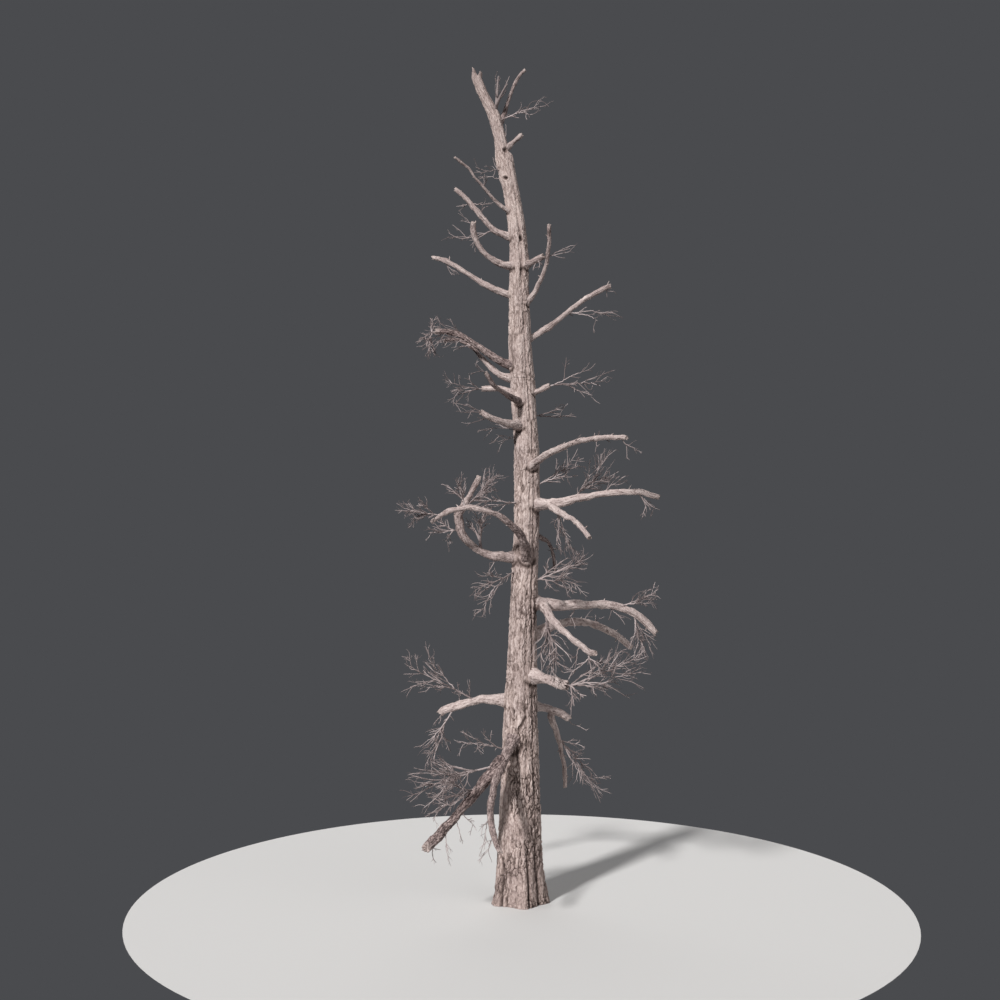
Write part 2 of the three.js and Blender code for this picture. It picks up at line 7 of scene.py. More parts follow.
import bpy
import numpy as np
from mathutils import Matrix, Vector


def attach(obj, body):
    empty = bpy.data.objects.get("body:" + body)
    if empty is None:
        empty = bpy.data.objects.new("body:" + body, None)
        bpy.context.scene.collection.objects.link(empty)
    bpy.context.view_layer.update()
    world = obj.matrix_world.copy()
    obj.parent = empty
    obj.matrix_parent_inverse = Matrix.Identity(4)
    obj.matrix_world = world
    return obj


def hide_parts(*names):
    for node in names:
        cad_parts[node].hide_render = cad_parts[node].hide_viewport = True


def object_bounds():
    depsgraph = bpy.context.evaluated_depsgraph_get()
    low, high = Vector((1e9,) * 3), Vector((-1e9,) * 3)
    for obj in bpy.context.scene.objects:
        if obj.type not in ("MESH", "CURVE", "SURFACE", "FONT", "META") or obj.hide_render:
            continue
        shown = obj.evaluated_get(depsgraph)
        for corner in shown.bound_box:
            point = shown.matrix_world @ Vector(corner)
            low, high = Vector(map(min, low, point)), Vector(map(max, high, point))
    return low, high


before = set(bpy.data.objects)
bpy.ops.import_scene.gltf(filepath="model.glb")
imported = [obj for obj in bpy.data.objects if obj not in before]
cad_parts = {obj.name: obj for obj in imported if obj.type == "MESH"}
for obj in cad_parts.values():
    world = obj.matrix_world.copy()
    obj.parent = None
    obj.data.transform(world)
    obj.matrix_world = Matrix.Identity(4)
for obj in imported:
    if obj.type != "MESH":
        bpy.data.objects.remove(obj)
CAD_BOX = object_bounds()

MM = 0.001
UP = np.array([0.0, 0.0, 1.0])

# ---- camera ---------------------------------------------------------------------------------

CAMERA_PLACE = (-0.24, -16.65, 4.808)
CAMERA_LENS = 50
CAMERA_SENSOR = 36
CAMERA_REACH = 3000

camera = bpy.data.objects.new("camera", bpy.data.cameras.new("camera"))
camera.data.lens = CAMERA_LENS
camera.data.sensor_width = CAMERA_SENSOR
camera.data.clip_end = CAMERA_REACH
camera.location = CAMERA_PLACE
camera.rotation_euler = (math.pi / 2, 0, 0)
bpy.context.scene.collection.objects.link(camera)
bpy.context.scene.camera = camera

# ---- sizes of the trunk and the limbs -------------------------------------------------------

# The trunk: height above the ground, sideways lean of the middle, radius
TRUNK_STATIONS = np.array([
    [0, -10, 328], [150, -6, 300], [450, -10, 268], [1100, 0, 238], [2200, 8, 197],
    [3300, 34, 160], [4700, 80, 148], [5300, 82, 144], [6000, 42, 140], [6700, 0, 132],
    [7300, -12, 116], [7900, -20, 104], [8400, -88, 96], [9000, -200, 86], [9400, -305, 78],
    [9700, -455, 64], [9860, -515, 58],
], float)
TRUNK_HEIGHT = 9860
ROOT_LOBES = {"count": 5, "depth": 0.11, "fade": 420, "turn": 0.5}
OVAL = {"depth": 0.03, "turn": 0.6}
SPLINTERS = [(3.0, 136), (-0.4, 74)]  # splinters of the broken top: angle, rise
SPLINTER = {"out": 0.85, "wide": 1.15, "steep": 1.7, "torn": 10, "fibre": 9, "seed": 77}
BREAK_DEPTH = 45

# Furrows that run up the bark, deepest between the root lobes: angle at the ground, how far
# each turns round the trunk by its top, depth at the ground and depth above the roots
FURROWS = [
    (-2.95, 0.5, 34, 9), (-2.35, 0.3, 26, 8), (-1.19, -0.25, 42, 9), (-0.70, -0.6, 48, 15),
    (0.15, 0.3, 36, 10), (0.95, -0.4, 44, 13), (1.75, 0.3, 34, 9), (2.55, 0.2, 40, 12),
]
FURROW = {"width": 15.6, "root_fade": 420, "top_fade": 7800, "meander": 16,
          "meander_length": 210, "apart": 9, "seed": 61, "dark_from": (4, 24), "dark_above": 0.35,
          "dark_over": (2500, 5500)}

COLLAR = {"swell": 0.4, "fade": 70}  # how a limb swells towards its root
CURVE_SAMPLES = 201                 # points for measuring a limb's length
TANGENT_STEP = 0.0001
STEEP = 0.8                         # a direction with more of z than this counts as upright

# A limb leaves its carrier's middle line, at a height on the trunk or at a share (at) of the
# carrying limb's length, and ends at tip. bow moves its middle off the straight line, and bend
# gives it an S. radii are those at its root and its tip. bark is how much of it still has bark,
# and bark_tip how much of its outer half, where that differs.
LIMBS = [
    {"name": "front_bough", "height": 2080, "tip": (-230, -1400, 940), "bow": (-200, 0, -10),
     "bend": (20, 0, 10), "radii": (68, 28), "bark": 0.75},
    {"name": "front_bough_arm", "on": "front_bough", "at": 0.25, "tip": (-1080, -1000, 880),
     "bow": (0, 0, -30), "bend": (40, 0, 55), "radii": (68, 50), "bark": 1.0},
    {"name": "left_bough_1", "height": 2380, "tip": (-970, 440, 2190), "bow": (-15, 0, 95),
     "bend": (-10, 0, 0), "radii": (66, 44), "bark": 0.0},
    {"name": "left_bough_2", "height": 4150, "tip": (-750, -100, 4630), "bow": (-120, 0, -205),
     "bend": (15, 0, 5), "radii": (58, 44), "bark": 0.5},
    {"name": "left_bough_2_rising", "on": "left_bough_2", "at": 1, "tip": (-490, 60, 5100),
     "bow": (5, 0, -35), "bend": (0, 0, 0), "radii": (42, 32), "bark": 0.45},
    # left_bough_3: its darker barked root is partly painted shade; its tip is bare and pale
    {"name": "left_bough_3", "height": 4020, "tip": (-1040, -500, 4550), "bow": (225, -350, 345),
     "bend": (60, 0, -40), "radii": (50, 24), "bark": 0.8, "bark_tip": 0.1},
    {"name": "left_bough_4", "height": 5710, "tip": (-460, -400, 5840), "bow": (-10, -80, -50),
     "bend": (5, 0, 0), "radii": (46, 35), "bark": 0.2},
    {"name": "left_bough_5", "stub": True, "height": 5970, "tip": (-450, 250, 6160),
     "bow": (10, 0, 80), "bend": (0, 0, 10), "radii": (42, 34), "bark": 0.1},
    {"name": "left_bough_6", "height": 5950, "tip": (-400, -650, 6270), "bow": (-30, -100, -40),
     "bend": (10, 0, 10), "radii": (34, 25), "bark": 0.7},
    {"name": "left_bough_7", "height": 6300, "tip": (-930, 350, 6750), "bow": (20, 40, -10),
     "bend": (-30, 0, -90), "radii": (44, 17), "bark": 0.15, "bark_tip": 1.0},
    {"name": "left_bough_8", "height": 6410, "tip": (-1010, 0, 6830), "bow": (10, 0, 20),
     "bend": (-20, 0, -50), "radii": (46, 34), "bark": 0.85},
    {"name": "left_bough_9", "height": 7270, "tip": (-1060, 450, 7790), "bow": (-10, 0, -25),
     "bend": (20, 0, -50), "radii": (40, 27), "bark": 0.3},
    {"name": "left_bough_10", "height": 7640, "tip": (-550, -150, 8120), "bow": (-120, 0, -150),
     "bend": (25, 0, -20), "radii": (41, 30), "bark": 0.3},
    {"name": "left_bough_11", "height": 7960, "tip": (-780, 250, 8590), "bow": (-30, 0, -85),
     "bend": (-40, 0, -20), "radii": (40, 28), "bark": 0.4},
    {"name": "left_bough_12", "height": 8240, "tip": (-770, -350, 8830), "bow": (-20, 0, -20),
     "bend": (-20, 0, -20), "radii": (23, 13), "bark": 0.3},
    {"name": "right_bough_1", "height": 2330, "tip": (600, 450, 2120), "bow": (0, 0, 60),
     "radii": (58, 44), "bark": 0.15},
    {"name": "right_bough_1_hanging", "on": "right_bough_1", "at": 0.6, "tip": (570, 600, 1240),
     "bow": (40, 30, 5), "bend": (-10, 0, -10), "radii": (38, 24), "bark": 0.2},
    {"name": "right_bough_2", "height": 2720, "tip": (540, -450, 2645), "bow": (5, 0, 15),
     "bend": (25, 0, 0), "radii": (68, 56), "bark": 0.0},
    {"name": "right_bough_3", "height": 3100, "tip": (1430, 1000, 2940), "bow": (60, 0, 280),
     "bend": (10, 0, 20), "radii": (62, 36), "bark": 0.15},
    {"name": "right_bough_4", "height": 3640, "tip": (1660, 350, 3180), "bow": (20, 0, 135),
     "bend": (0, 0, -95), "radii": (70, 38), "bark": 0.1},
    {"name": "right_bough_4_fork", "on": "right_bough_4", "at": 0.15, "tip": (790, -1550, 3140),
     "bow": (-35, 0, -65), "bend": (-45, 0, 35), "radii": (52, 27), "bark": 0.1},
    {"name": "right_bough_5", "height": 4450, "tip": (440, 600, 3910), "bow": (100, 0, 95),
     "bend": (10, 0, -30), "radii": (30, 16), "bark": 0.8},
    {"name": "right_bough_6", "height": 4770, "tip": (1610, -500, 4840), "bow": (-20, 0, 50),
     "bend": (5, 0, -50), "radii": (60, 30), "bark": 0.0},
    {"name": "right_bough_6_fork", "on": "right_bough_6", "at": 0.17, "tip": (770, -1100, 4390),
     "bow": (10, 0, 30), "bend": (15, 0, -30), "radii": (40, 26), "bark": 0.05},
    {"name": "right_bough_7", "height": 5160, "tip": (1150, -1500, 5480), "bow": (-20, 0, 140),
     "bend": (-10, 0, 0), "radii": (42, 25), "bark": 0.05},
    {"name": "right_bough_8", "stub": True, "height": 6040, "tip": (360, -80, 6170),
     "radii": (32, 26), "bark": 0.2},
    {"name": "right_bough_9", "height": 6700, "tip": (1110, 300, 7420), "bow": (25, 0, 15),
     "bend": (-20, 0, -50), "radii": (37, 27), "bark": 0.25},
    {"name": "right_bough_10", "height": 7080, "tip": (340, -350, 8040), "bow": (120, 0, -35),
     "bend": (10, 0, 0), "radii": (32, 20), "bark": 0.3, "bark_tip": 0.8},
    {"name": "top_bough", "height": 9280, "tip": (60, 150, 10000), "bow": (-30, 0, 10),
     "bend": (20, 0, -10), "radii": (25, 19), "bark": 0.7},
    {"name": "stub_right", "stub": True, "height": 7580, "tip": (280, -120, 7710),
     "radii": (40, 36), "bark": 0.3},
    {"name": "stub_top", "stub": True, "height": 8990, "tip": (20, -60, 9170),
     "radii": (29, 25), "bark": 0.3},
]

# A spray of twigs leaves the trunk at a height, or a limb at a share (at) of its length, by one
# stem, and its leading twigs end at these places. stem is how far the stem reaches beyond its
# carrier, sparse how many times wider apart its finer twigs stand, and stout how many times
# thicker its leading twigs are than the rule's.
SPRAYS = [
    {"name": "twigs_crown", "sparse": 3, "stout": 2.6, "height": 9420,
     "ends": [(-260, -150, 9850), (-150, -230, 9730)]},
    {"name": "twigs_crown_right", "sparse": 1.7, "height": 9340,
     "ends": [(250, -150, 9560), (80, -280, 9380)]},
    {"name": "twigs_left_11", "sparse": 2.4, "on": "left_bough_11", "at": 0.85,
     "ends": [(-390, 240, 8410), (-780, 340, 8400)]},
    {"name": "twigs_left_11_low", "sparse": 2.4, "on": "left_bough_11", "at": 0.3,
     "ends": [(-830, 350, 8010), (-600, 150, 7880)]},
    {"name": "twigs_left_8", "sparse": 0.6, "on": "left_bough_8",
     "ends": [(-1070, 120, 6950), (-1180, -80, 6730), (-1060, -230, 6550)]},
    {"name": "twigs_left_5", "sparse": 1.5, "on": "left_bough_5",
     "ends": [(-930, 420, 6250), (-800, 300, 6070), (-630, 180, 6300)]},
    {"name": "twigs_left_3", "sparse": 0.7, "on": "left_bough_3", "at": 0.93,
     "ends": [(-1370, -650, 4720), (-1250, -520, 4590), (-1140, -700, 4800)]},
    {"name": "twigs_left_3_upright", "sparse": 0.8, "stout": 1.3, "on": "left_bough_3",
     "at": 0.74, "stem": 80,
     "ends": [(-720, -760, 5030), (-830, -620, 4960), (-650, -560, 4970)]},
    {"name": "twigs_left_2_inner", "sparse": 0.8, "stout": 2, "on": "left_bough_2", "at": 0.5,
     "stem": 90,
     "ends": [(-430, -150, 4640), (-600, 60, 4520), (-500, -260, 4580)]},
    {"name": "twigs_left_2_outer", "on": "left_bough_2", "at": 0.85,
     "ends": [(-1080, 0, 4420), (-880, -250, 4320), (-1000, 160, 4550)]},
    {"name": "twigs_left_2_rising", "sparse": 0.8, "on": "left_bough_2_rising", "at": 0.12,
     "stem": 110,
     "ends": [(-310, 60, 5130), (-370, -160, 4970), (-410, 120, 4830)]},
    {"name": "twigs_trunk_left_mid", "sparse": 1.2, "height": 4790,
     "ends": [(-500, -260, 4800), (-430, -120, 4700)]},
    {"name": "twigs_trunk_left", "sparse": 1.3, "height": 4020, "stem": 170,
     "ends": [(-550, -300, 3440), (-560, -150, 3720), (-420, -420, 3950)]},
    {"name": "twigs_left_1_upper", "sparse": 1.2, "on": "left_bough_1", "at": 0.55, "stem": 230,
     "ends": [(-1410, 300, 2820), (-1110, 120, 2900), (-1200, 420, 2520)]},
    {"name": "twigs_left_1_lower", "sparse": 1.3, "on": "left_bough_1", "at": 0.82, "stem": 180,
     "ends": [(-1140, 470, 1550), (-1160, 330, 1840), (-1060, 560, 1780)]},
    {"name": "twigs_front", "sparse": 1.4, "on": "front_bough", "at": 0.2, "stem": 100,
     "ends": [(-680, -600, 1980), (-440, -430, 2080)]},
    {"name": "twigs_front_arm_upper", "sparse": 1.2, "stout": 1.3, "on": "front_bough_arm",
     "at": 0.13, "stem": 230,
     "ends": [(-1200, -900, 1520), (-920, -620, 1800), (-990, -1000, 1710),
              (-940, -500, 1350)]},
    {"name": "twigs_front_arm", "on": "front_bough_arm", "at": 0.36,
     "ends": [(-930, -640, 1350), (-950, -900, 1280), (-840, -1000, 1660)]},
    {"name": "twigs_right_9", "sparse": 2.3, "on": "right_bough_9", "at": 0.5,
     "ends": [(1140, 350, 7120), (940, 50, 6960)]},
    {"name": "twigs_right_8", "sparse": 2.5, "on": "right_bough_8",
     "ends": [(1090, -250, 6220), (790, -60, 6360), (740, -420, 6070)]},
    {"name": "twigs_trunk_right", "sparse": 2.6, "height": 5800,
     "ends": [(630, 300, 5810), (520, 120, 5940)]},
    {"name": "twigs_right_6", "sparse": 1.4, "on": "right_bough_6", "at": 0.85,
     "ends": [(1640, -330, 4690), (1460, -560, 4670)]},
    {"name": "twigs_right_6_upper", "sparse": 1.1, "on": "right_bough_6", "at": 0.36, "stem": 90,
     "ends": [(1020, -350, 5320), (1050, -50, 5090), (810, -420, 5160)]},
    {"name": "twigs_trunk_right_mid", "sparse": 1.3, "height": 4920,
     "ends": [(690, -250, 5220), (550, -80, 5190)]},
    {"name": "twigs_right_6_under", "sparse": 1.3, "on": "right_bough_6", "at": 0.24,
     "ends": [(630, 100, 4190), (430, -60, 4260)]},
    {"name": "twigs_right_4_upper", "on": "right_bough_4", "at": 0.7,
     "ends": [(1670, 320, 3680), (1570, 120, 3560)]},
    {"name": "twigs_right_4_lower", "on": "right_bough_4", "at": 0.82,
     "ends": [(1530, 300, 2920), (1360, 150, 3110), (1630, 480, 3080)]},
    {"name": "twigs_trunk_right_low", "stout": 1.3, "height": 3800,
     "ends": [(740, -200, 4120), (660, -380, 3820), (500, -60, 4070)]},
    {"name": "twigs_right_4_fork", "sparse": 0.9, "on": "right_bough_4_fork", "at": 0.85,
     "ends": [(540, -1350, 2910), (780, -1250, 2890), (930, -1450, 3020)]},
    {"name": "twigs_right_4_under", "sparse": 1.4, "stout": 1.7, "on": "right_bough_4_fork",
     "at": 0.1, "stem": 120,
     "ends": [(380, -480, 2780), (240, -330, 2930), (450, -600, 2900)]},
    {"name": "twigs_right_2", "sparse": 1.5, "stout": 1.3, "on": "right_bough_2",
     "ends": [(1430, -650, 3080), (1260, -850, 2810), (1030, -380, 2580), (580, -520, 2360),
              (720, -750, 2540), (1150, -300, 3010)]},
    {"name": "twigs_right_1", "sparse": 1.7, "on": "right_bough_1_hanging", "at": 0.35,
     "ends": [(840, 620, 1290), (1020, 800, 1250), (750, 480, 1790)]},
]

# Single small twigs besides: what carries each, its share along it or height, and its end.
SPRIGS = [
    (None, 8728, (-539, -60, 8786)), (None, 8660, (-500, 80, 8700)),
    (None, 9010, (-170, -70, 9300)), ("left_bough_9", 0.85, (-792, 380, 7580)),
    ("left_bough_10", 0.96, (-691, -150, 8182)), ("right_bough_10", 0.65, (624, -220, 7827)),
    ("stub_right", 0.7, (154, -90, 7540)), ("stub_right", 0.8, (230, -180, 7560)),
    ("left_bough_4", 0.95, (-765, -450, 5846)), ("left_bough_4", 0.8, (-614, -420, 5696)),
    ("left_bough_4", 0.98, (-700, -380, 5930)), (None, 5640, (-429, -250, 5623)),
    (None, 5600, (-334, -200, 5500)), ("right_bough_7", 0.95, (1270, -1450, 5333)),
    ("right_bough_7", 0.5, (639, -900, 5510)), ("right_bough_7", 0.72, (869, -1150, 5560)),
    ("right_bough_7", 0.7, (858, -1120, 5400)), ("right_bough_5", 0.9, (317, 560, 3830)),
    ("right_bough_5", 0.95, (466, 640, 3740)), ("right_bough_5", 0.6, (520, 480, 4190)),
    ("right_bough_3", 0.6, (1009, 760, 3320)), ("right_bough_3", 0.8, (1159, 930, 3120)),
    ("right_bough_3", 0.5, (884, 560, 3440)), ("right_bough_4", 0.42, (607, 120, 3320)),
    ("right_bough_4", 0.62, (1280, 200, 3290)), ("right_bough_4_fork", 0.7, (589, -1240, 2930)),
    ("left_bough_2", 0.3, (-420, -60, 3900)), ("left_bough_1", 0.97, (-1066, 470, 2034)),
    ("left_bough_1", 0.6, (-606, 300, 2600)), ("left_bough_1", 0.75, (-760, 330, 2560)),
    ("front_bough_arm", 0.55, (-514, -800, 1066)), ("front_bough_arm", 0.72, (-818, -920, 700)),
    ("front_bough_arm", 0.6, (-700, -780, 900)), ("front_bough_arm", 0.9, (-1000, -860, 720)),
    ("front_bough", 0.7, (-420, -1180, 900)), ("front_bough", 0.8, (-330, -1330, 800)),
    ("left_bough_12", 0.5, (-420, -260, 8660)), ("left_bough_11", 0.6, (-420, 120, 8400)),
    ("left_bough_7", 0.9, (-1060, 420, 6700)), ("left_bough_7", 0.97, (-1020, 300, 6860)),
    ("left_bough_8", 0.9, (-1130, 80, 6700)), ("left_bough_8", 0.7, (-960, -70, 6920)),
    ("left_bough_8", 0.78, (-1070, -40, 6900)), ("left_bough_8", 0.62, (-900, -90, 6700)),
    ("left_bough_8", 0.74, (-1010, -110, 6690)), ("left_bough_8", 0.86, (-1120, -60, 6790)),
    ("left_bough_8", 0.55, (-830, 60, 6640)), ("left_bough_8", 0.82, (-1090, 110, 6860)),
    ("left_bough_6", 0.9, (-520, -760, 6350)),
    ("right_bough_9", 0.9, (1180, 360, 7330)), ("right_bough_1", 0.9, (760, 560, 2000)),
    ("right_bough_6", 0.6, (1200, -420, 5080)), ("right_bough_2", 0.8, (640, -600, 2500)),
]

# ---- the source's rule for twigs ------------------------------------------------------------

# The stem of a spray, the leading twigs that fan out from its end, and the twigs on their
# sides: how they are spaced, how they leave, how long beside their leader, and how they bend.
STEM = {"beyond": 50, "sunk": 20, "radius": 10, "end": 0.9, "tip": 0.8}
LEADER = {"step": 170, "steps": (2, 4), "radius": 8, "tip": 2.2, "wobble": 0.055, "bow": 0.08}
SIDE_TWIG = {
    "steps": 2, "spacing": 240, "most": 4, "first": 0.25, "last": 0.92, "unevenness": 0.8,
    "angle": (35, 65), "share": 0.42, "fade": 0.55, "spread": (0.75, 1.25), "shortest": 70,
    "curl": 0.35, "bow": 0.1, "radius": 5, "tip": 1.8, "wobble": 0.05,
}
TURN = 2.4                          # how far round, in radians, each twig stands from the last
SPACE_MARGIN = 130                  # how far a spray's space reaches past its twigs' ends
TWIG_CLEARANCE = 3
CHECKS = {"along_twig": 8, "past_twigs": 16, "limb_step": 25, "trunk_step": 40,
          "trunk_margin": 1.15}
FIRST_SEED = 401
WORD = 0xFFFFFFFF

# Finer twigs than the source's, grown on by one rule: how far apart, how long beside what
# carries them, how they leave it, and how they wander and curl.
FINE_TWIGS = {
    "spacing": 88, "first": 0.05, "last": 0.96, "angle": (10, 40), "share": 0.62, "fade": 0.35,
    "spread": (0.5, 1.3), "shortest": 90, "longest": 460, "points": 12, "sides": 6,
    "radius": 7.0, "tip": 3.0, "wander": 0.07, "curl": 0.9,
}
TWIGLETS = {
    "spacing": 105, "first": 0.12, "last": 0.95, "angle": (14, 48), "share": 0.5, "fade": 0.35,
    "spread": (0.5, 1.4), "shortest": 45, "longest": 220, "points": 9, "sides": 5,
    "radius": 5.0, "tip": 2.4, "wander": 0.08, "curl": 1.1,
}
SPURS = {
    "spacing": 64, "first": 0.08, "last": 0.98, "angle": (18, 62), "share": 0.4, "fade": 0.2,
    "spread": (0.4, 1.5), "shortest": 14, "longest": 80, "points": 5, "sides": 3,
    "radius": 2.3, "tip": 1.0, "wander": 0.16, "curl": 1.0,
}
SNAGS = {
    "spacing": 230, "first": 0.3, "last": 0.97, "angle": (45, 80), "share": 0.05, "fade": 0,
    "spread": (0.3, 1.8), "shortest": 22, "longest": 95, "points": 5, "sides": 6,
    "radius": 8.0, "tip": 3.5, "wander": 0.12, "curl": 0.3,
}
SNAG_SEED = 1400
SNAG_START = 1.1                    # where a limb's snags start, as a share of its hidden length
SNAG_LATEST = 0.6                   # and at the latest, as a share of the limb
SNAG_POINTS = 20
SPRIG = {"seed": 900, "radius": 6.0, "tip": 2.2, "wobble": 0.05, "margin": 60, "sparse": 1.4,
         "middle": 0.6}
SPROUT = {"turn_spread": 0.4, "curl_by_chance": 0.8, "curl_along": 1.1,
          "thickness": (0.8, 1.25), "beside_parent": 0.85}
CURLY = {"share": 0.2, "more": 2.4}  # this share of the twigs curls so many times more
BOX_MARGIN = 45                     # how far finer twigs may pass the solids' own box
NEAR_SPACE = 400                    # limbs further than this from a spray's space are left out
LEADER_POINTS = 24
SIDE_TWIG_POINTS = 14
TWIG_SIDES = 8
TWIG_SUNK = 0.8                     # how many of its radii a twig's foot is sunk
GNARL = 0.009                       # sideways wandering of a twig, as a share of its length
TRIANGLES_PER_PIECE = 190000

# ---- bark and wood --------------------------------------------------------------------------

TRUNK_COLUMNS = 240
TRUNK_ROWS = 1000
TRUNK_PARTS = ("low", "middle", "top")
ROW_CROWDING = 1.12                 # above 1, rows stand closer near the ground
BARK_SEED = 5

# Bark on the trunk. A size is (across, across, along the stem). A crack's depth fades over its
# edge and its darkness over its line, both measured from the border of a cell. Cells stand
# higher or lower by stand and paler or darker by tone, and bend moves a pattern with the bark.
BARK_FACE = {"height": 4, "tone": 0.72}
BARK_BEND = {"size": 95, "apart": 17, "reach": (22, 22, 60)}
BARK_JAG = {"size": 19, "apart": 17, "reach": (5, 5, 12)}
PLATE = {"size": (52, 52, 190), "depth": 10, "edge": (0, 11), "line": (0.5, 6), "stand": 4,
         "tone": 0.12, "dark": 0.6}
SCALE = {"size": (24, 24, 62), "depth": 5, "edge": (0, 7), "line": (0.5, 4), "stand": 3,
         "tone": 0.16, "dark": 0.36}
LONG_FURROW = {"size": (170, 170, 1500), "depth": 9, "edge": (0.005, 0.06), "dark": 0.5,
               "bend": 30, "patch": (190, 190, 480), "where": (-0.25, 0.3)}
FIBRE = {"size": (11, 11, 120), "depth": 2.5, "tone": 0.12, "bend": 8}
ROUGH = {"size": (16, 16, 26), "depth": 2.5, "tone": 0.14}
FLECK = {"size": (17, 17, 42), "depth": 4, "edge": (0.3, 0.55), "dark": 0.3,
         "at_foot": 0.4, "full": (400, 3500)}
WORN = {"size": 240, "least": 0.35, "where": (-0.4, 0.3)}  # where the cracks are shallower

# How the bark changes as the trunk thins and rises: a share, and over which radii or heights.
THIN_TRUNK = {"contrast": 0.5, "contrast_over": (80, 220), "relief": (0.5, 1.3),
              "relief_over": (60, 260), "tone": 0.93, "tone_over": (100, 160)}
FOOT_SHADE = {"tone": 0.8, "over": (100, 900)}

# scars of lost limbs: height, angle, how wide and how tall, depth
SCARS = [
    (8979, -1.38, 34, 34, 20), (8652, -2.1, 44, 26, 26), (7930, -1.26, 26, 44, 18),
    (4214, -2.32, 46, 58, 8), (2818, -2.03, 46, 58, 9), (1500, -1.9, 44, 55, 6),
    (4940, -1.95, 30, 52, 10), (3420, 2.5, 55, 70, 16), (6450, 1.2, 42, 52, 14),
    (1850, 0.9, 60, 75, 14), (7350, 2.2, 30, 38, 12), (4700, 0.4, 45, 56, 14),
    (900, 2.9, 50, 62, 10), (8300, 0.8, 30, 38, 12),
]
SCAR_LIP = {"at": 1.15, "wide": 0.28, "height": 0.3}
# a scar's hollow: how far it reaches, and the painted shade that darkens it, full from this depth
SCAR_HOLLOW_AND_PAINTED_SHADE = {"over": (0.35, 1.0), "dark": 0.9, "shade_full_from": 24}
SCAR_RIM = {"at": 0.8, "wide": 0.2, "dark": 0.2}

# swellings, and hollows with a sharp lower edge: height, angle, width, reach up, reach down,
# amount
SWELLINGS = [
    (8850, 3.0, 75, 150, 150, 34), (8650, 2.9, 60, 60, 60, 16), (8990, -0.25, 60, 300, 32, -34),
    (8930, -0.15, 60, 60, 120, 12), (7650, 0.1, 70, 120, 120, 10), (5180, 3.0, 90, 160, 160, 12),
    (6230, 0.1, 80, 140, 140, 10), (4450, 3.1, 80, 200, 200, -10),
]

# The trunk round each limb: a swelling, and a crease under the limb, cut in and
# darkened with painted shade.
TRUNK_COLLAR = {"height": 0.2, "wide": 1.25}
CREASE_AND_PAINTED_SHADE = {"at": 1.4, "wide": 0.28, "under": (0.1, 0.9), "depth": 9, "dark": 0.85}

# The broken top: where the rim starts to rise, and the rings that go down into the hollow.
BREAK_START = 0.975
BREAK_POWER = 1.5
BREAK_RINGS = (0.92, 0.82, 0.7, 0.56, 0.4, 0.22)
BREAK_BARK = 0.8                    # how much broken wood shows on the rim's outside
BREAK_TONE = 0.35

LIMB_SIDES = 44
LIMB_RING_STEP = 8
FEWEST_RINGS = 10
LIMB_START = 0.55                   # where a limb starts, as a share of its hidden length
SPLICE_START = -0.04                # where one starts that goes on from another's end
FORK_ROOT = {"least": 0.5, "over": 45}  # how a fork's root thins inside the limb that carries it
LIMB_BEND = {"size": 60, "apart": 9}
GRAIN = {"size": (11, 11, 130), "depth": 3, "bend": 0.5}
CRACK = {"size": (15, 15, 210), "edge": (0, 0.1), "depth": 5, "bend": 0.3}
CHIPS = {"size": (17, 17, 30), "depth": 4.2, "bend": 0.4, "on_bare": 0.6}
SWELL = {"size": (60, 60, 105), "share": 0.17}
LIMB_PLATE = {"size": (19, 19, 62), "depth": 5, "edge": (0, 6), "line": (0.5, 3.5), "stand": 2,
              "bend": 8, "fray": 3, "grain": 1.2}
BARK_PATCH = {"size": (70, 70, 150), "spread": 0.5, "most": 1.2}
BARK_CHANGE = (0.4, 0.75)           # where a limb's bark changes from its root's to its tip's
BARE_TONE = {"plain": 0.63, "grain": 0.17, "chips": 0.2, "crack": -0.45}
BARK_TONE = {"plain": 0.62, "plate": 0.3, "chips": 0.16, "grain": 0.1, "line": -0.55}
LIMB_WAIST = {"at": 0.55, "wide": 0.17, "depth": 0.2, "full": 1.04}
LIMB_WANDER = {"length": 130, "amount": 10, "settle": 200, "lane": (3.7, 9.1)}
LIMB_KNOTS = {"spacing": 90, "height": 11, "spread": 22, "long": 0.7, "amount": (0.4, 1),
              "dimple": 0.5, "dimple_narrower": 3}
LIMB_SEED = {"first": 100, "step": 37}
THIN_LIMB = 40                      # below this radius a limb's relief grows weaker

# A limb's torn end, in radii of the limb: how long its splinters are, how deep its hollow is,
# and from how far back it is torn.
TORN_END = {"splinter": 1.3, "hollow": 0.5, "from": 2.2, "low": 0.25, "thinner": 0.22,
            "teeth": 2.2, "teeth_apart": 1.7, "sharpness": 1.3, "rings": (0.8, 0.45),
            "jag": 0.16, "jag_size": 7, "tone": 0.45, "bark_lost": 0.8}

# ---- small helpers --------------------------------------------------------------------------


def mix(a, b, share):
    """a at share 0, b at share 1, and evenly between."""
    return a + (b - a) * share


def ease(low, high, value):
    """0 below low, 1 above high, and 3t² - 2t³ between."""
    t = np.clip((value - low) / (high - low), 0, 1)
    return t * t * (3 - 2 * t)


def unit(vectors):
    """Each vector divided by its length."""
    return vectors / np.linalg.norm(vectors, axis=-1, keepdims=True)


def seeded_random(seed):
    """The source's numbers from 0 to 1: a 32-bit count goes up by a fixed step, and its bits
    are mixed by two multiplications."""
    state = seed
    while True:
        state = (state + 0x6D2B79F5) & WORD
        t = ((state ^ (state >> 15)) * (1 | state)) & WORD
        t = ((t + (t ^ (t >> 7)) * (61 | t)) & WORD) ^ t
        yield (t ^ (t >> 14)) / 4294967296


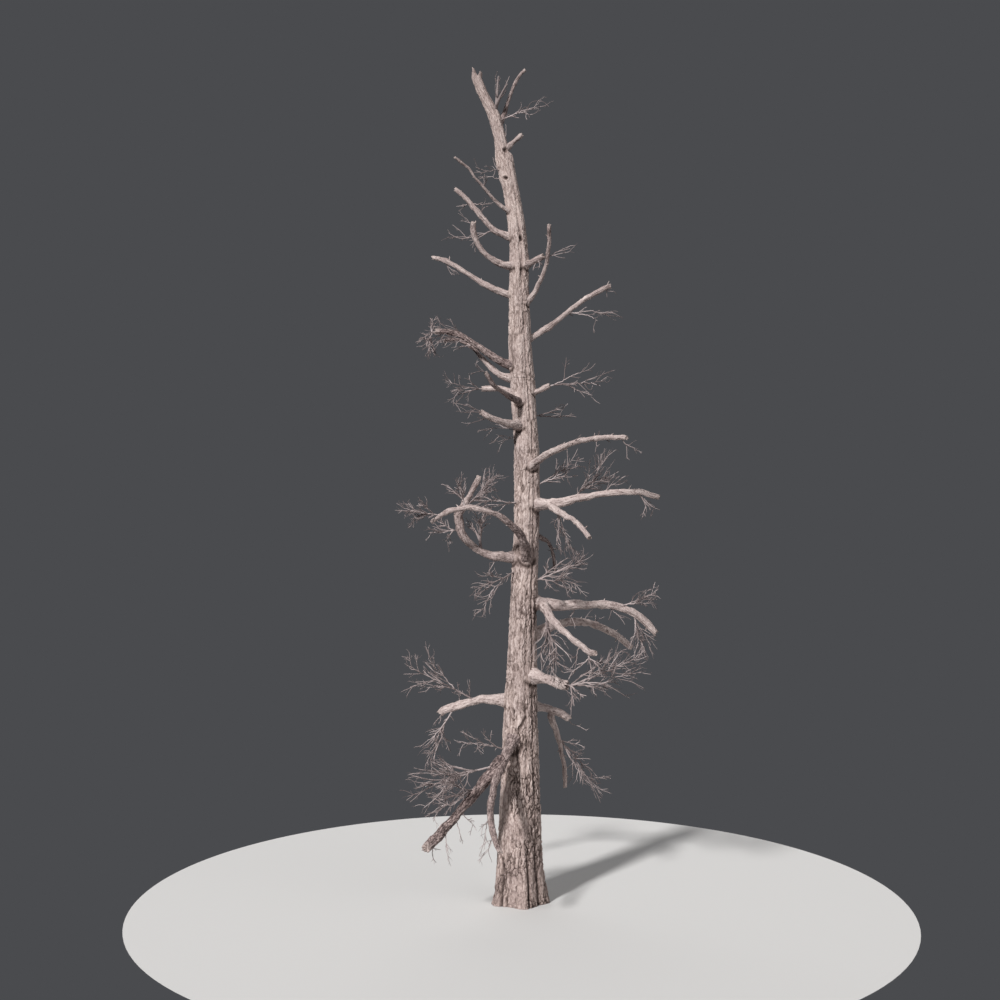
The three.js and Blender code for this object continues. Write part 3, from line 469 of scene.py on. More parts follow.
def lattice_random(cell, seed):
    """A number from 0 to 1 for each whole-numbered cell: its three counts are multiplied by
    large primes, crossed, and mixed."""
    primes = np.array([73856093, 19349663, 83492791], np.int64)
    n = np.bitwise_xor.reduce(cell.astype(np.int64) * primes, axis=-1) ^ (seed * 668265263)
    n = ((n ^ (n >> 13)) * 1274126177) & WORD
    n = ((n ^ (n >> 15)) * 2246822519) & WORD
    return ((n ^ (n >> 16)) & 0xFFFFFF) / 0xFFFFFF


def smooth_noise(places, seed):
    """Noise from -1 to 1: random values on the corners of unit cells, eased between them."""
    cell = np.floor(places).astype(np.int64)
    t = places - cell
    t = t * t * (3 - 2 * t)
    total = np.zeros(places.shape[:-1])
    for corner in np.ndindex(2, 2, 2):
        weight = np.prod(np.where(np.array(corner) == 1, t, 1 - t), axis=-1)
        total += weight * lattice_random(cell + np.array(corner), seed)
    return 2 * total - 1


def noise_vector(places, seed, apart):
    """A noise for each axis: for each next one the places move on by apart, and the seed by 1."""
    return np.stack([smooth_noise(places + apart * k, seed + k) for k in range(3)], axis=-1)


def around(turn, angle, radius):
    """How far round a stem each place lies from an angle, the shorter way, in millimetres."""
    return np.angle(np.exp(1j * (turn - angle))) * radius


def cells(places, size, seed):
    """Cells of that size (across, across, along), each round a random point: how far each place
    lies, in millimetres, from the nearest flat border halfway between two points, and its own
    cell's random number."""
    size = np.array(size)
    spots = places / size
    cell = np.floor(spots).astype(np.int64)
    nearest = np.full(len(spots), np.inf)
    own = np.zeros_like(spots)
    tone = np.zeros(len(spots))
    points = []
    for step in np.ndindex(3, 3, 3):
        other = cell + np.array(step) - 1
        point = other + np.stack([lattice_random(other, seed + k) for k in range(3)], axis=-1)
        points.append(point)
        distance = np.linalg.norm(spots - point, axis=-1)
        closer = distance < nearest
        nearest = np.where(closer, distance, nearest)
        own = np.where(closer[:, None], point, own)
        tone = np.where(closer, lattice_random(other, seed + 3), tone)
    border = np.full(len(spots), np.inf)
    for point in points:
        apart = point - own
        between = np.sum((0.5 * (point + own) - spots) * apart, axis=-1)
        slope = np.linalg.norm(apart / size, axis=-1)
        distance = between / np.where(slope > 0, slope, 1)
        border = np.where(slope > 0, np.minimum(border, distance), border)
    return border, tone


def make_mesh(name, places, faces, values=()):
    """A mesh object from places in millimetres and from arrays of faces, one array for each
    number of corners, with a number for each place under each name in values."""
    mesh = bpy.data.meshes.new(name)
    counts = np.concatenate([np.full(len(group), group.shape[1]) for group in faces])
    corners = np.concatenate([group.ravel() for group in faces]).astype(np.int32)
    mesh.vertices.add(len(places))
    mesh.vertices.foreach_set("co", (places * MM).astype(np.float32).ravel())
    mesh.loops.add(len(corners))
    mesh.loops.foreach_set("vertex_index", corners)
    mesh.polygons.add(len(counts))
    mesh.polygons.foreach_set("loop_start", (np.cumsum(counts) - counts).astype(np.int32))
    mesh.update(calc_edges=True)
    for label, numbers in dict(values).items():
        attribute = mesh.attributes.new(label, "FLOAT", "POINT")
        attribute.data.foreach_set("value", numbers.astype(np.float32))
    mesh.shade_smooth()
    piece = bpy.data.objects.new(name, mesh)
    bpy.context.scene.collection.objects.link(piece)
    return piece


def closed_grid(rows, columns):
    """Faces of a tube of rows of columns places each, closed by a fan at each end. The places
    are the rows from the foot up, then the middle of the foot, then the middle of the end."""
    row = np.arange(rows - 1)[:, None] * columns
    column = np.arange(columns)[None, :]
    following = (column + 1) % columns
    walls = np.stack([row + column, row + following, row + columns + following,
                      row + columns + column], axis=-1).reshape(-1, 4)
    column, following = column[0], following[0]
    foot, end = rows * columns, rows * columns + 1
    last = (rows - 1) * columns
    below = np.stack([following, column, np.full(columns, foot)], axis=-1)
    above = np.stack([last + column, last + following, np.full(columns, end)], axis=-1)
    return [walls, np.concatenate([below, above])]


# ---- the trunk's shape ----------------------------------------------------------------------


def trunk_value(height, column):
    """A smooth curve through one column of the stations (cubic Hermite): at each station it
    runs parallel to the line between that station's neighbours."""
    heights, values = TRUNK_STATIONS[:, 0], TRUNK_STATIONS[:, column]
    index = np.arange(len(heights))
    before, after = np.maximum(index - 1, 0), np.minimum(index + 1, len(index) - 1)
    slopes = (values[after] - values[before]) / (heights[after] - heights[before])
    i = np.clip(np.searchsorted(heights, height) - 1, 0, len(heights) - 2)
    span = heights[i + 1] - heights[i]
    t = np.clip((height - heights[i]) / span, 0, 1)
    return (mix(values[i], values[i + 1], t * t * (3 - 2 * t))
            + span * slopes[i] * t * (1 - t) ** 2 - span * slopes[i + 1] * t * t * (1 - t))


def trunk_radius(angle, height):
    """The stations' radius, slightly oval, with root lobes that fade upwards."""
    lobes = ROOT_LOBES["depth"] * np.exp(-height / ROOT_LOBES["fade"])
    lobes = lobes * np.cos(ROOT_LOBES["count"] * angle + ROOT_LOBES["turn"])
    oval = OVAL["depth"] * np.cos(2 * angle + OVAL["turn"])
    return trunk_value(height, 2) * (1 + lobes + oval)


def break_height(across, radius):
    """How high the broken top stands above its foot, at places across it: a wedge for each
    splinter, highest near the outside, less a bowl in the middle, plus torn fibres."""
    share = np.linalg.norm(across, axis=-1) / radius
    height = -BREAK_DEPTH * (1 - np.minimum(share, 1) ** 2)
    for angle, rise in SPLINTERS:
        foot = SPLINTER["out"] * radius * np.array([np.cos(angle), np.sin(angle)])
        away = np.linalg.norm(across - foot, axis=-1) / (SPLINTER["wide"] * radius)
        height = height + rise * np.clip(SPLINTER["steep"] * (1 - away), 0, 1)
    fibres = np.stack([across[..., 0] / SPLINTER["fibre"], across[..., 1] / SPLINTER["fibre"],
                       0 * share], axis=-1)
    return height + SPLINTER["torn"] * smooth_noise(fibres, SPLINTER["seed"])


def trunk_middle(height):
    """The middle of the trunk at a height: it leans and bends only sideways."""
    return np.array([float(trunk_value(height, 1)), 0.0, float(height)])


# ---- limbs ----------------------------------------------------------------------------------


class Limb:
    """A limb as its curve, its length and its radius, as the source plans it."""

    def __init__(self, row, limbs):
        """From its row, and from the limbs before it, one of which may carry it."""
        self.name = row["name"]
        self.stub = row.get("stub", False)
        self.bark = (row["bark"], row.get("bark_tip", row["bark"]))
        self.at = row.get("at")
        self.carrier = limbs.get(row.get("on"))
        if self.carrier:
            self.root = self.carrier.point(self.at)
            self.hidden = float(self.carrier.radius(self.at))
        else:
            self.root = trunk_middle(row["height"])
            self.hidden = float(trunk_value(row["height"], 2))
        self.tip = np.array(row["tip"], float)
        self.bow = np.array(row.get("bow", (0, 0, 0)), float)
        self.bend = np.array(row.get("bend", (0, 0, 0)), float)
        self.radii = row["radii"]
        self.plain = self.carrier is not None and self.at == 1
        steps = np.diff(self.point(np.linspace(0, 1, CURVE_SAMPLES)), axis=0)
        self.length = float(np.linalg.norm(steps, axis=1).sum())

    def point(self, t):
        """root (1 - t) + tip t + bow 4t(1 - t) + bend 10t(1 - t)(1 - 2t)"""
        t = np.asarray(t, float)[..., None]
        arch = t * (1 - t)
        return (mix(self.root, self.tip, t) + self.bow * 4 * arch
                + self.bend * 10 * arch * (1 - 2 * t))

    def tangent(self, t):
        """The curve's direction: the difference between two close points, made unit length."""
        t = np.asarray(t, float)
        low, high = np.clip(t - TANGENT_STEP, 0, 1), np.clip(t + TANGENT_STEP, 0, 1)
        return unit(self.point(high) - self.point(low))

    def radius(self, t):
        """An even taper, swollen where the limb leaves its carrier."""
        t = np.asarray(t, float)
        plain = mix(self.radii[0], self.radii[1], t)
        if self.plain:
            return plain
        outside = np.maximum(t * self.length - self.hidden, 0)
        return plain * (1 + COLLAR["swell"] * np.exp(-outside / COLLAR["fade"]))


limbs = {}
for limb_row in LIMBS:
    limbs[limb_row["name"]] = Limb(limb_row, limbs)

# ---- the trunk's surface --------------------------------------------------------------------


def bark_relief(places, seed):
    """Height of the bark at places in bark space, in millimetres, and how pale each place is,
    from 0 in the cracks to 1. Plates and the scales on them are cells stretched along the stem
    and bent by noise, each standing a little higher or lower, with cracks between them. Long
    furrows follow the zero lines of slow noise. Fibres, roughness and flecks are finer noise."""
    bend = noise_vector(places / BARK_BEND["size"], seed, BARK_BEND["apart"])
    jag = noise_vector(places / BARK_JAG["size"], seed + 5, BARK_JAG["apart"])
    bent = places + bend * np.array(BARK_BEND["reach"]) + jag * np.array(BARK_JAG["reach"])
    border, plate = cells(bent, PLATE["size"], seed + 11)
    edge, scale = cells(bent, SCALE["size"], seed + 17)
    slow = smooth_noise((places + LONG_FURROW["bend"] * bend) / LONG_FURROW["size"], seed + 23)
    patch = smooth_noise(places / LONG_FURROW["patch"], seed + 29)
    furrow = 1 - ease(*LONG_FURROW["edge"], np.abs(slow))
    furrow = furrow * ease(*LONG_FURROW["where"], patch)
    fibre = smooth_noise((places + FIBRE["bend"] * bend) / FIBRE["size"], seed + 31)
    rough = smooth_noise(places / ROUGH["size"], seed + 41)
    fleck = ease(*FLECK["edge"], smooth_noise(bent / FLECK["size"], seed + 47))
    fleck = fleck * mix(FLECK["at_foot"], 1.0, ease(*FLECK["full"], places[:, 2]))
    worn = smooth_noise(places / WORN["size"], seed + 43)
    clear = mix(WORN["least"], 1.0, ease(*WORN["where"], worn))
    height = (BARK_FACE["height"] - PLATE["depth"] * (1 - ease(*PLATE["edge"], border)) * clear
              + PLATE["stand"] * (plate - 0.5) + SCALE["stand"] * (scale - 0.5)
              - SCALE["depth"] * (1 - ease(*SCALE["edge"], edge)) * clear
              - LONG_FURROW["depth"] * furrow + FIBRE["depth"] * fibre + ROUGH["depth"] * rough
              - FLECK["depth"] * fleck)
    crest = (BARK_FACE["tone"] + FIBRE["tone"] * fibre + ROUGH["tone"] * rough
             + PLATE["tone"] * (plate - 0.5) + SCALE["tone"] * (scale - 0.5)
             - PLATE["dark"] * (1 - ease(*PLATE["line"], border)) * clear
             - SCALE["dark"] * (1 - ease(*SCALE["line"], edge)) * clear
             - LONG_FURROW["dark"] * furrow - FLECK["dark"] * fleck)
    return height, np.clip(crest, 0, 1)


def trunk_bark(turn, height, radius):
    """The trunk's radius + the relief of its bark, and how pale the bark is. Both are weaker
    where the trunk is thin, and the bark is darker at its foot."""
    bark_space = np.stack([radius * np.cos(turn), radius * np.sin(turn), height], axis=-1)
    relief, crest = bark_relief(bark_space.reshape(-1, 3), BARK_SEED)
    relief, crest = relief.reshape(radius.shape), crest.reshape(radius.shape)
    thick = trunk_value(height, 2)
    contrast = mix(THIN_TRUNK["contrast"], 1.0, ease(*THIN_TRUNK["contrast_over"], thick))
    crest = 1 - (1 - crest) * contrast
    crest = crest * mix(FOOT_SHADE["tone"], 1.0, ease(*FOOT_SHADE["over"], height))
    crest = crest * mix(THIN_TRUNK["tone"], 1.0, ease(*THIN_TRUNK["tone_over"], radius))
    return radius + relief * mix(*THIN_TRUNK["relief"],
                                 ease(*THIN_TRUNK["relief_over"], thick)), crest


def furrowed(turn, height, radius, out, crest):
    """The outer radius out and the bark's paleness with the furrows cut in: each is a bell
    across a line that climbs the trunk, drifts round it and meanders by noise."""
    near_root = np.exp(-(height / FURROW["root_fade"]) ** 2)
    fade = np.minimum(1, (TRUNK_HEIGHT - height) / (TRUNK_HEIGHT - FURROW["top_fade"]))
    dark = mix(1, FURROW["dark_above"], ease(*FURROW["dark_over"], height))
    for middle, drift, root, deep in FURROWS:
        depth = root * near_root + deep * (1 - near_root) * fade
        lane = np.stack([height / FURROW["meander_length"],
                         height * 0 + middle * FURROW["apart"], height * 0], axis=-1)
        line = middle + drift * height / TRUNK_HEIGHT
        line = line + FURROW["meander"] * smooth_noise(lane, FURROW["seed"]) / radius
        groove = np.exp(-(around(turn, line, radius) / FURROW["width"]) ** 2)
        out = out - depth * groove
        crest = crest * (1 - groove * ease(*FURROW["dark_from"], depth) * dark)
    return out, crest


def scarred(turn, height, radius, out, crest):
    """The outer radius out and the bark's paleness with scars and swellings: a scar is a hollow
    inside an oval lip, darkened with painted shade that grows with its depth, and a swelling
    a bell that reaches further up or down."""
    for high, middle, wide, tall, depth in SCARS:
        away = np.hypot(around(turn, middle, radius) / wide, (height - high) / tall)
        lip = np.exp(-((away - SCAR_LIP["at"]) / SCAR_LIP["wide"]) ** 2)
        rim = np.exp(-((away - SCAR_RIM["at"]) / SCAR_RIM["wide"]) ** 2)
        hollow = 1 - ease(*SCAR_HOLLOW_AND_PAINTED_SHADE["over"], away)
        out = out + SCAR_LIP["height"] * depth * lip - depth * hollow
        # painted shade in each scar's hollow, darker the deeper the scar
        dark = min(SCAR_HOLLOW_AND_PAINTED_SHADE["dark"], depth / SCAR_HOLLOW_AND_PAINTED_SHADE["shade_full_from"])
        crest = crest * (1 - dark * hollow) - SCAR_RIM["dark"] * rim
    for high, middle, wide, above, below, amount in SWELLINGS:
        beside = around(turn, middle, radius) / wide
        along = (height - high) / np.where(height > high, above, below)
        out = out + amount * np.exp(-beside ** 2 - along ** 2)
    return out, crest


def limb_collars(places):
    """How far the trunk's surface swells round the limbs that leave it, a bell over the
    distance from each limb's middle line, less the crease under the limb, a ring round that
    line that is kept below it. And how strong the crease is, from 0 to 1, which also sets
    the painted shade under the limb."""
    lift = np.zeros(len(places))
    crease_and_shade = np.zeros(len(places))
    for limb in limbs.values():
        if limb.carrier is None:
            out = limb.tangent(min(limb.hidden / limb.length, 1))
            heart = limb.point(min(limb.hidden / limb.length, 1))
            offset = places - heart
            beside = np.linalg.norm(offset - (offset @ out)[:, None] * out, axis=1)
            beside = np.where(offset @ out > -limb.hidden, beside, np.inf)
            wide = float(limb.radius(limb.hidden / limb.length))
            bell = np.exp(-(beside / (TRUNK_COLLAR["wide"] * wide)) ** 2)
            lift += TRUNK_COLLAR["height"] * wide * bell
            ring = np.exp(-((beside / wide - CREASE_AND_PAINTED_SHADE["at"]) / CREASE_AND_PAINTED_SHADE["wide"]) ** 2)
            under = ease(*CREASE_AND_PAINTED_SHADE["under"], -offset[:, 2] / wide)
            crease_and_shade = np.maximum(crease_and_shade, ring * under)
    return lift - CREASE_AND_PAINTED_SHADE["depth"] * crease_and_shade, crease_and_shade


def trunk_rows():
    """Rows of the trunk's places from the ground to the rim of the break, then rings into the
    hollow break, with how pale and how broken each place is, and the hollow's middle. Radius =
    stations' radius + bark relief - furrows and scars + swellings and collars. The rim rises
    with the splinters."""
    share = np.linspace(0, 1, TRUNK_ROWS)[:, None]
    turn = (2 * np.pi * np.arange(TRUNK_COLUMNS) / TRUNK_COLUMNS)[None, :]
    height = TRUNK_HEIGHT * share ** ROW_CROWDING
    turn, height, radius = np.broadcast_arrays(turn, height, trunk_radius(turn, height))
    out, crest = furrowed(turn, height, radius, *trunk_bark(turn, height, radius))
    places = np.stack([trunk_value(height, 1) + out * np.cos(turn), out * np.sin(turn), height],
                      axis=-1)
    out, crest = scarred(turn, height, radius, out, crest)
    lift, crease_and_shade = limb_collars(places.reshape(-1, 3))
    out = out + lift.reshape(out.shape)
    # painted shade: the bark is darkened along the crease under each limb
    crest = crest * (1 - CREASE_AND_PAINTED_SHADE["dark"] * crease_and_shade.reshape(out.shape))
    near_top = ease(BREAK_START, 1, np.broadcast_to(share, out.shape)) ** BREAK_POWER
    across = np.stack([out * np.cos(turn), out * np.sin(turn)], axis=-1)
    wide = float(trunk_value(TRUNK_HEIGHT, 2))
    rise = near_top * break_height(across[-1], wide)[None, :]
    middle = trunk_value(height + rise, 1)
    rows = np.stack([middle + across[..., 0], across[..., 1], height + rise], axis=-1)
    rows[0, :, 2] = 0
    rings = []
    for part in BREAK_RINGS:
        inner = across[-1] * part
        level = TRUNK_HEIGHT + break_height(inner, wide)
        rings.append(np.stack([middle[-1] + inner[:, 0], inner[:, 1], level], axis=-1))
    shape = (len(BREAK_RINGS), TRUNK_COLUMNS)
    values = {"crest": np.concatenate([np.clip(crest, 0, 1), np.full(shape, BREAK_TONE)]),
              "broken": np.concatenate([BREAK_BARK * near_top, np.ones(shape)])}
    centre = np.array([middle[-1, 0], 0, TRUNK_HEIGHT - BREAK_DEPTH])
    return np.concatenate([rows, np.stack(rings)]), values, centre


def trunk_pieces():
    """The trunk's rows as closed meshes, one above the other, each with the row it shares."""
    rows, values, centre = trunk_rows()
    borders = np.linspace(0, TRUNK_ROWS - 1, len(TRUNK_PARTS) + 1).astype(int)
    borders[-1] = len(rows) - 1
    pieces = []
    for part, first, last in zip(TRUNK_PARTS, borders[:-1], borders[1:]):
        band = slice(first, last + 1)
        ends = [rows[first].mean(axis=0), rows[last].mean(axis=0)]
        if part == TRUNK_PARTS[-1]:
            ends[1] = centre
        own = {key: np.append(numbers[band].ravel(), [BREAK_TONE, BREAK_TONE])
               for key, numbers in values.items()}
        pieces.append(make_mesh(f"trunk_bark_{part}",
                                np.concatenate([rows[band].reshape(-1, 3), ends]),
                                closed_grid(last + 1 - first, TRUNK_COLUMNS), own))
    return pieces


# ---- the limbs' surfaces --------------------------------------------------------------------


def carried_frames(points):
    """Directions along a row of points and two axes square to them. The first axis is carried
    on from point to point, less what lies along the new direction."""
    along = unit(np.gradient(points, axis=0))
    across = np.array([1.0, 0, 0]) if abs(along[0][2]) > STEEP else UP
    rows = []
    for direction in along:
        across = unit(across - direction * (across @ direction))
        rows.append(across)
    across = np.array(rows)
    return along, across, np.cross(along, across)


def limb_spine(limb, seed):
    """A limb's rings: how far along it each stands, its middle and its radius. The middle
    wanders by noise once it is out of the carrier. Radius = taper - a bell at the waist, and a
    fork's root thins inside the limb that carries it."""
    start = SPLICE_START if limb.plain else LIMB_START * limb.hidden / limb.length
    rings = max(FEWEST_RINGS, int(limb.length * (1 - start) / LIMB_RING_STEP))
    t = np.linspace(start, 1, rings)
    run = t * limb.length
    lane = np.stack([*(np.full(rings, place) for place in LIMB_WANDER["lane"]),
                     run / LIMB_WANDER["length"]], axis=-1)
    settle = ease(limb.hidden, limb.hidden + LIMB_WANDER["settle"], run)[:, None]
    middle = limb.point(t) + LIMB_WANDER["amount"] * noise_vector(lane, seed + 1, 0) * settle
    waist = np.exp(-((t - LIMB_WAIST["at"]) / LIMB_WAIST["wide"]) ** 2)
    radius = limb.radius(t) * (LIMB_WAIST["full"] - LIMB_WAIST["depth"] * waist)
    if limb.carrier and not limb.plain:
        shoulder = ease(start * limb.length, limb.hidden + FORK_ROOT["over"], run)
        radius = radius * mix(FORK_ROOT["least"], 1, shoulder)
    return t, middle, radius


def limb_relief(limb, t, turn, run, base, seed):
    """Relief in millimetres, a share by which the limb swells, how much bark covers each place
    and how pale it is. Bare wood = grain - cracks, and bark = cells with gaps between them.
    Chips lie on both."""
    flat = np.stack([base * np.cos(turn), base * np.sin(turn), run], axis=-1).reshape(-1, 3)
    bend = noise_vector(flat / LIMB_BEND["size"], seed, LIMB_BEND["apart"])
    grain = smooth_noise(flat / GRAIN["size"] + GRAIN["bend"] * bend, seed + 5)
    swell = smooth_noise(flat / SWELL["size"], seed + 6)
    patch = smooth_noise(flat / BARK_PATCH["size"], seed + 8)
    chips = smooth_noise(flat / CHIPS["size"] + CHIPS["bend"] * bend, seed + 10)
    slow = smooth_noise(flat / CRACK["size"] + CRACK["bend"] * bend, seed + 11)
    crack = 1 - ease(*CRACK["edge"], np.abs(slow))
    fray = LIMB_PLATE["fray"] * np.roll(bend, 1, axis=1) * chips[:, None]
    border, plate = cells(flat + LIMB_PLATE["bend"] * bend + fray, LIMB_PLATE["size"], seed + 7)
    grain, swell, patch, chips, crack, border, plate = (
        values.reshape(base.shape) for values in (grain, swell, patch, chips, crack, border, plate))
    share = mix(*limb.bark, ease(*BARK_CHANGE, t))[:, None]
    cover = share + BARK_PATCH["spread"] * patch * share * (BARK_PATCH["most"] - share)
    cover = np.clip(cover, 0, 1)
    gap = 1 - ease(*LIMB_PLATE["edge"], border)
    line = 1 - ease(*LIMB_PLATE["line"], border)
    bare = GRAIN["depth"] * grain - CRACK["depth"] * crack
    bark = (LIMB_PLATE["stand"] * (0.5 + plate) - LIMB_PLATE["depth"] * gap
            + LIMB_PLATE["grain"] * grain)
    relief = mix(bare, bark, cover) + CHIPS["depth"] * mix(CHIPS["on_bare"], 1.0, cover) * chips
    bare = (BARE_TONE["plain"] + BARE_TONE["grain"] * grain + BARE_TONE["chips"] * chips
            + BARE_TONE["crack"] * crack)
    bark = (BARK_TONE["plain"] + BARK_TONE["plate"] * (plate - 0.5) + BARK_TONE["chips"] * chips
            + BARK_TONE["grain"] * grain + BARK_TONE["line"] * line)
    return relief, SWELL["share"] * swell, cover, np.clip(mix(bare, bark, cover), 0, 1)


def limb_knots(limb, turn, run, base, seed):
    """Height of the knots spread by chance over a limb: each a bell less a narrower dimple."""
    knots = np.zeros(base.shape)
    chance = np.random.default_rng(seed)
    for _ in range(int(limb.length / LIMB_KNOTS["spacing"])):
        place, side = chance.uniform(limb.hidden, limb.length), chance.uniform(0, 2 * np.pi)
        along = (run - place) * LIMB_KNOTS["long"]
        away = np.hypot(around(turn, side, base), along) / LIMB_KNOTS["spread"]
        dimple = np.exp(-(LIMB_KNOTS["dimple_narrower"] * away) ** 2)
        bell = np.exp(-away ** 2) - LIMB_KNOTS["dimple"] * dimple
        knots += chance.uniform(*LIMB_KNOTS["amount"]) * bell
    return LIMB_KNOTS["height"] * knots


def limb_surface(limb, seed):
    """A limb's mesh: rings square to its middle line, radius = taper + swelling + relief and
    knots, a rim torn into splinters, two rings down into its hollow end, and the two middles.
    The splinters are as long as noise round the rim says."""
    t, middle, thickness = limb_spine(limb, seed)
    along, across, third = carried_frames(middle)
    angle = (2 * np.pi * np.arange(LIMB_SIDES) / LIMB_SIDES)[None, :]
    turn, run, base = np.broadcast_arrays(angle, (t * limb.length)[:, None], thickness[:, None])
    relief, swell, cover, crest = limb_relief(limb, t, turn, run, base, seed)
    thin = np.minimum(1, base / THIN_LIMB)
    radius = base * (1 + swell) + thin * (relief + limb_knots(limb, turn, run, base, seed))
    rim = np.stack([TORN_END["teeth"] * np.cos(turn[-1]), TORN_END["teeth"] * np.sin(turn[-1]),
                    np.full(LIMB_SIDES, seed * TORN_END["teeth_apart"])], axis=-1)
    teeth = np.abs(smooth_noise(rim, seed + 9)) ** TORN_END["sharpness"]
    wide = thickness[-1]
    goes_on = any(other.plain and other.carrier is limb for other in limbs.values())
    tear = ease(1 - TORN_END["from"] * wide / limb.length, 1, t)[:, None] * (not goes_on)
    longer = tear * wide * TORN_END["splinter"] * (teeth[None, :] - TORN_END["low"])
    radius = radius * (1 - TORN_END["thinner"] * tear * teeth[None, :])
    places = (middle[:, None] + across[:, None] * (radius * np.cos(turn))[..., None]
              + third[:, None] * (radius * np.sin(turn))[..., None]
              + along[:, None] * longer[..., None])
    hollow = middle[-1] - along[-1] * wide * TORN_END["hollow"]
    inner = []
    for k, part in enumerate(TORN_END["rings"]):
        ring = mix(hollow, places[-1], part)
        jag = smooth_noise(ring / TORN_END["jag_size"], seed + 20 + k)
        inner.append(ring + along[-1] * (wide * TORN_END["jag"] * jag)[:, None])
    rows = np.concatenate([places.reshape(-1, 3), *inner, middle[:1], hollow[None]])
    extra = len(rows) - base.size
    broken = np.broadcast_to(tear ** 3, base.shape)
    values = {
        "crest": np.append(crest, np.full(extra, TORN_END["tone"])),
        "cover": np.append(cover * (1 - TORN_END["bark_lost"] * tear), np.zeros(extra)),
        "broken": np.append(broken, np.ones(extra)),
        "along": np.append(run, np.full(extra, limb.length)) * MM,
        "girth": np.append(turn * base.mean(), np.zeros(extra)) * MM,
    }
    faces = closed_grid(len(t) + len(inner), LIMB_SIDES)
    return make_mesh(limb.name + "_wood", rows, faces, values)


# ---- twigs by the source's rule -------------------------------------------------------------


def gnarled_path(start, end, bow, steps, wobble, random):
    """Straight from start to end, bowed aside, each inner point pushed off the line."""
    length = np.linalg.norm(end - start)
    points = [start]
    for k in range(1, steps + 1):
        t = k / steps
        point = mix(start, end, t) + bow * 4 * t * (1 - t)
        push = np.array([next(random) - 0.5, next(random) - 0.5, next(random) - 0.5])
        if k < steps:
            point = point + push * 2 * wobble * length
        points.append(point)
    return np.array(points)


def along_path(points, share):
    """The point and the direction at a share of the way along a path of even steps."""
    steps = len(points) - 1
    i = min(int(share * steps), steps - 1)
    return mix(points[i], points[i + 1], share * steps - i), unit(points[i + 1] - points[i])


def path_samples(twig, count):
    """Evenly spread points along a twig, and its radius at each."""
    share = np.arange(count + 1) / count
    places = np.array([along_path(twig["points"], s)[0] for s in share])
    return places, mix(twig["foot"], twig["solid_tip"], share)


def side_twigs(points, random):
    """The side twigs of one leader. Each leaves at an angle, turned on round the leader from
    the last one, shorter towards its end, and curls back towards the leader's direction."""
    rule = SIDE_TWIG
    length = np.linalg.norm(points[-1] - points[0])
    count = min(rule["most"], max(1, math.floor(length / rule["spacing"] + 0.5)))
    twigs = []
    turn = next(random) * math.pi * 2
    for k in range(count):
        spot = (k + next(random) * rule["unevenness"]) / count
        share = mix(rule["first"], rule["last"], spot)
        place, along = along_path(points, share)
        turn += TURN + (next(random) - 0.5)
        angle = math.radians(mix(*rule["angle"], next(random)))
        level = unit(np.cross(UP, along))
        aside = level * math.cos(turn) + np.cross(along, level) * math.sin(turn)
        direction = along * math.cos(angle) + aside * math.sin(angle)
        full = length * rule["share"] * (1 - rule["fade"] * share)
        reach = max(full * mix(*rule["spread"], next(random)), rule["shortest"])
        end = place + direction * reach * (1 - rule["curl"]) + along * reach * rule["curl"]
        path = gnarled_path(place, end, aside * reach * rule["bow"], rule["steps"],
                            rule["wobble"], random)
        twigs.append({"points": path, "foot": rule["radius"], "solid_tip": 0,
                      "tip": rule["tip"], "kind": "side"})
    return twigs


def is_clear(places, radii, obstacles):
    """True where no sample comes nearer to an obstacle than the clearance."""
    room = radii[:, None] + obstacles[1][None, :] + TWIG_CLEARANCE
    gap = np.linalg.norm(places[:, None] - obstacles[0][None, :], axis=-1)
    return bool(np.all(gap > room))


def plan_spray(row, index, obstacles):
    """One stem out of its carrier, leaders from the stem's end, and their side twigs."""
    random = seeded_random(FIRST_SEED + index)
    carrier = limbs.get(row.get("on"))
    at = row.get("at", 1)
    ends = [np.array(end, float) for end in row["ends"]]
    start = carrier.point(at) if carrier else trunk_middle(row["height"])
    cover = float(carrier.radius(at)) if carrier else float(trunk_value(row["height"], 2))
    out = unit(np.mean(ends, axis=0) - start)
    from_tip = carrier is not None and at == 1
    if from_tip:
        out = unit(out + carrier.tangent(1.0))
    beyond = row.get("stem", STEM["beyond"])
    fork = start + out * ((0 if from_tip else cover) + beyond)
    middle = np.mean([fork, *ends], axis=0)
    reach = max(np.linalg.norm(point - middle) for point in [fork, *ends]) + SPACE_MARGIN
    foot = start - out * STEM["sunk"] if from_tip else start
    twigs = [{"points": np.array([foot, fork]), "foot": STEM["radius"],
              "solid_tip": STEM["radius"] * STEM["end"], "tip": STEM["radius"] * STEM["tip"],
              "kind": "leading"}]
    for end in ends:
        span = np.linalg.norm(end - fork)
        steps = min(max(math.floor(span / LEADER["step"] + 0.5), LEADER["steps"][0]),
                    LEADER["steps"][1])
        points = gnarled_path(fork, end, out * span * LEADER["bow"], steps,
                              LEADER["wobble"], random)
        twigs.append({"points": points, "foot": LEADER["radius"], "solid_tip": 0,
                      "tip": LEADER["tip"], "kind": "leading"})
        for twig in side_twigs(points, random):
            places, radii = path_samples(twig, CHECKS["along_twig"])
            inside = np.all(np.linalg.norm(places - middle, axis=1) <= reach)
            if inside and is_clear(places, radii, obstacles):
                twigs.append(twig)
    return {"name": row["name"], "middle": middle, "reach": reach, "twigs": twigs,
            "sparse": row.get("sparse", 1)}


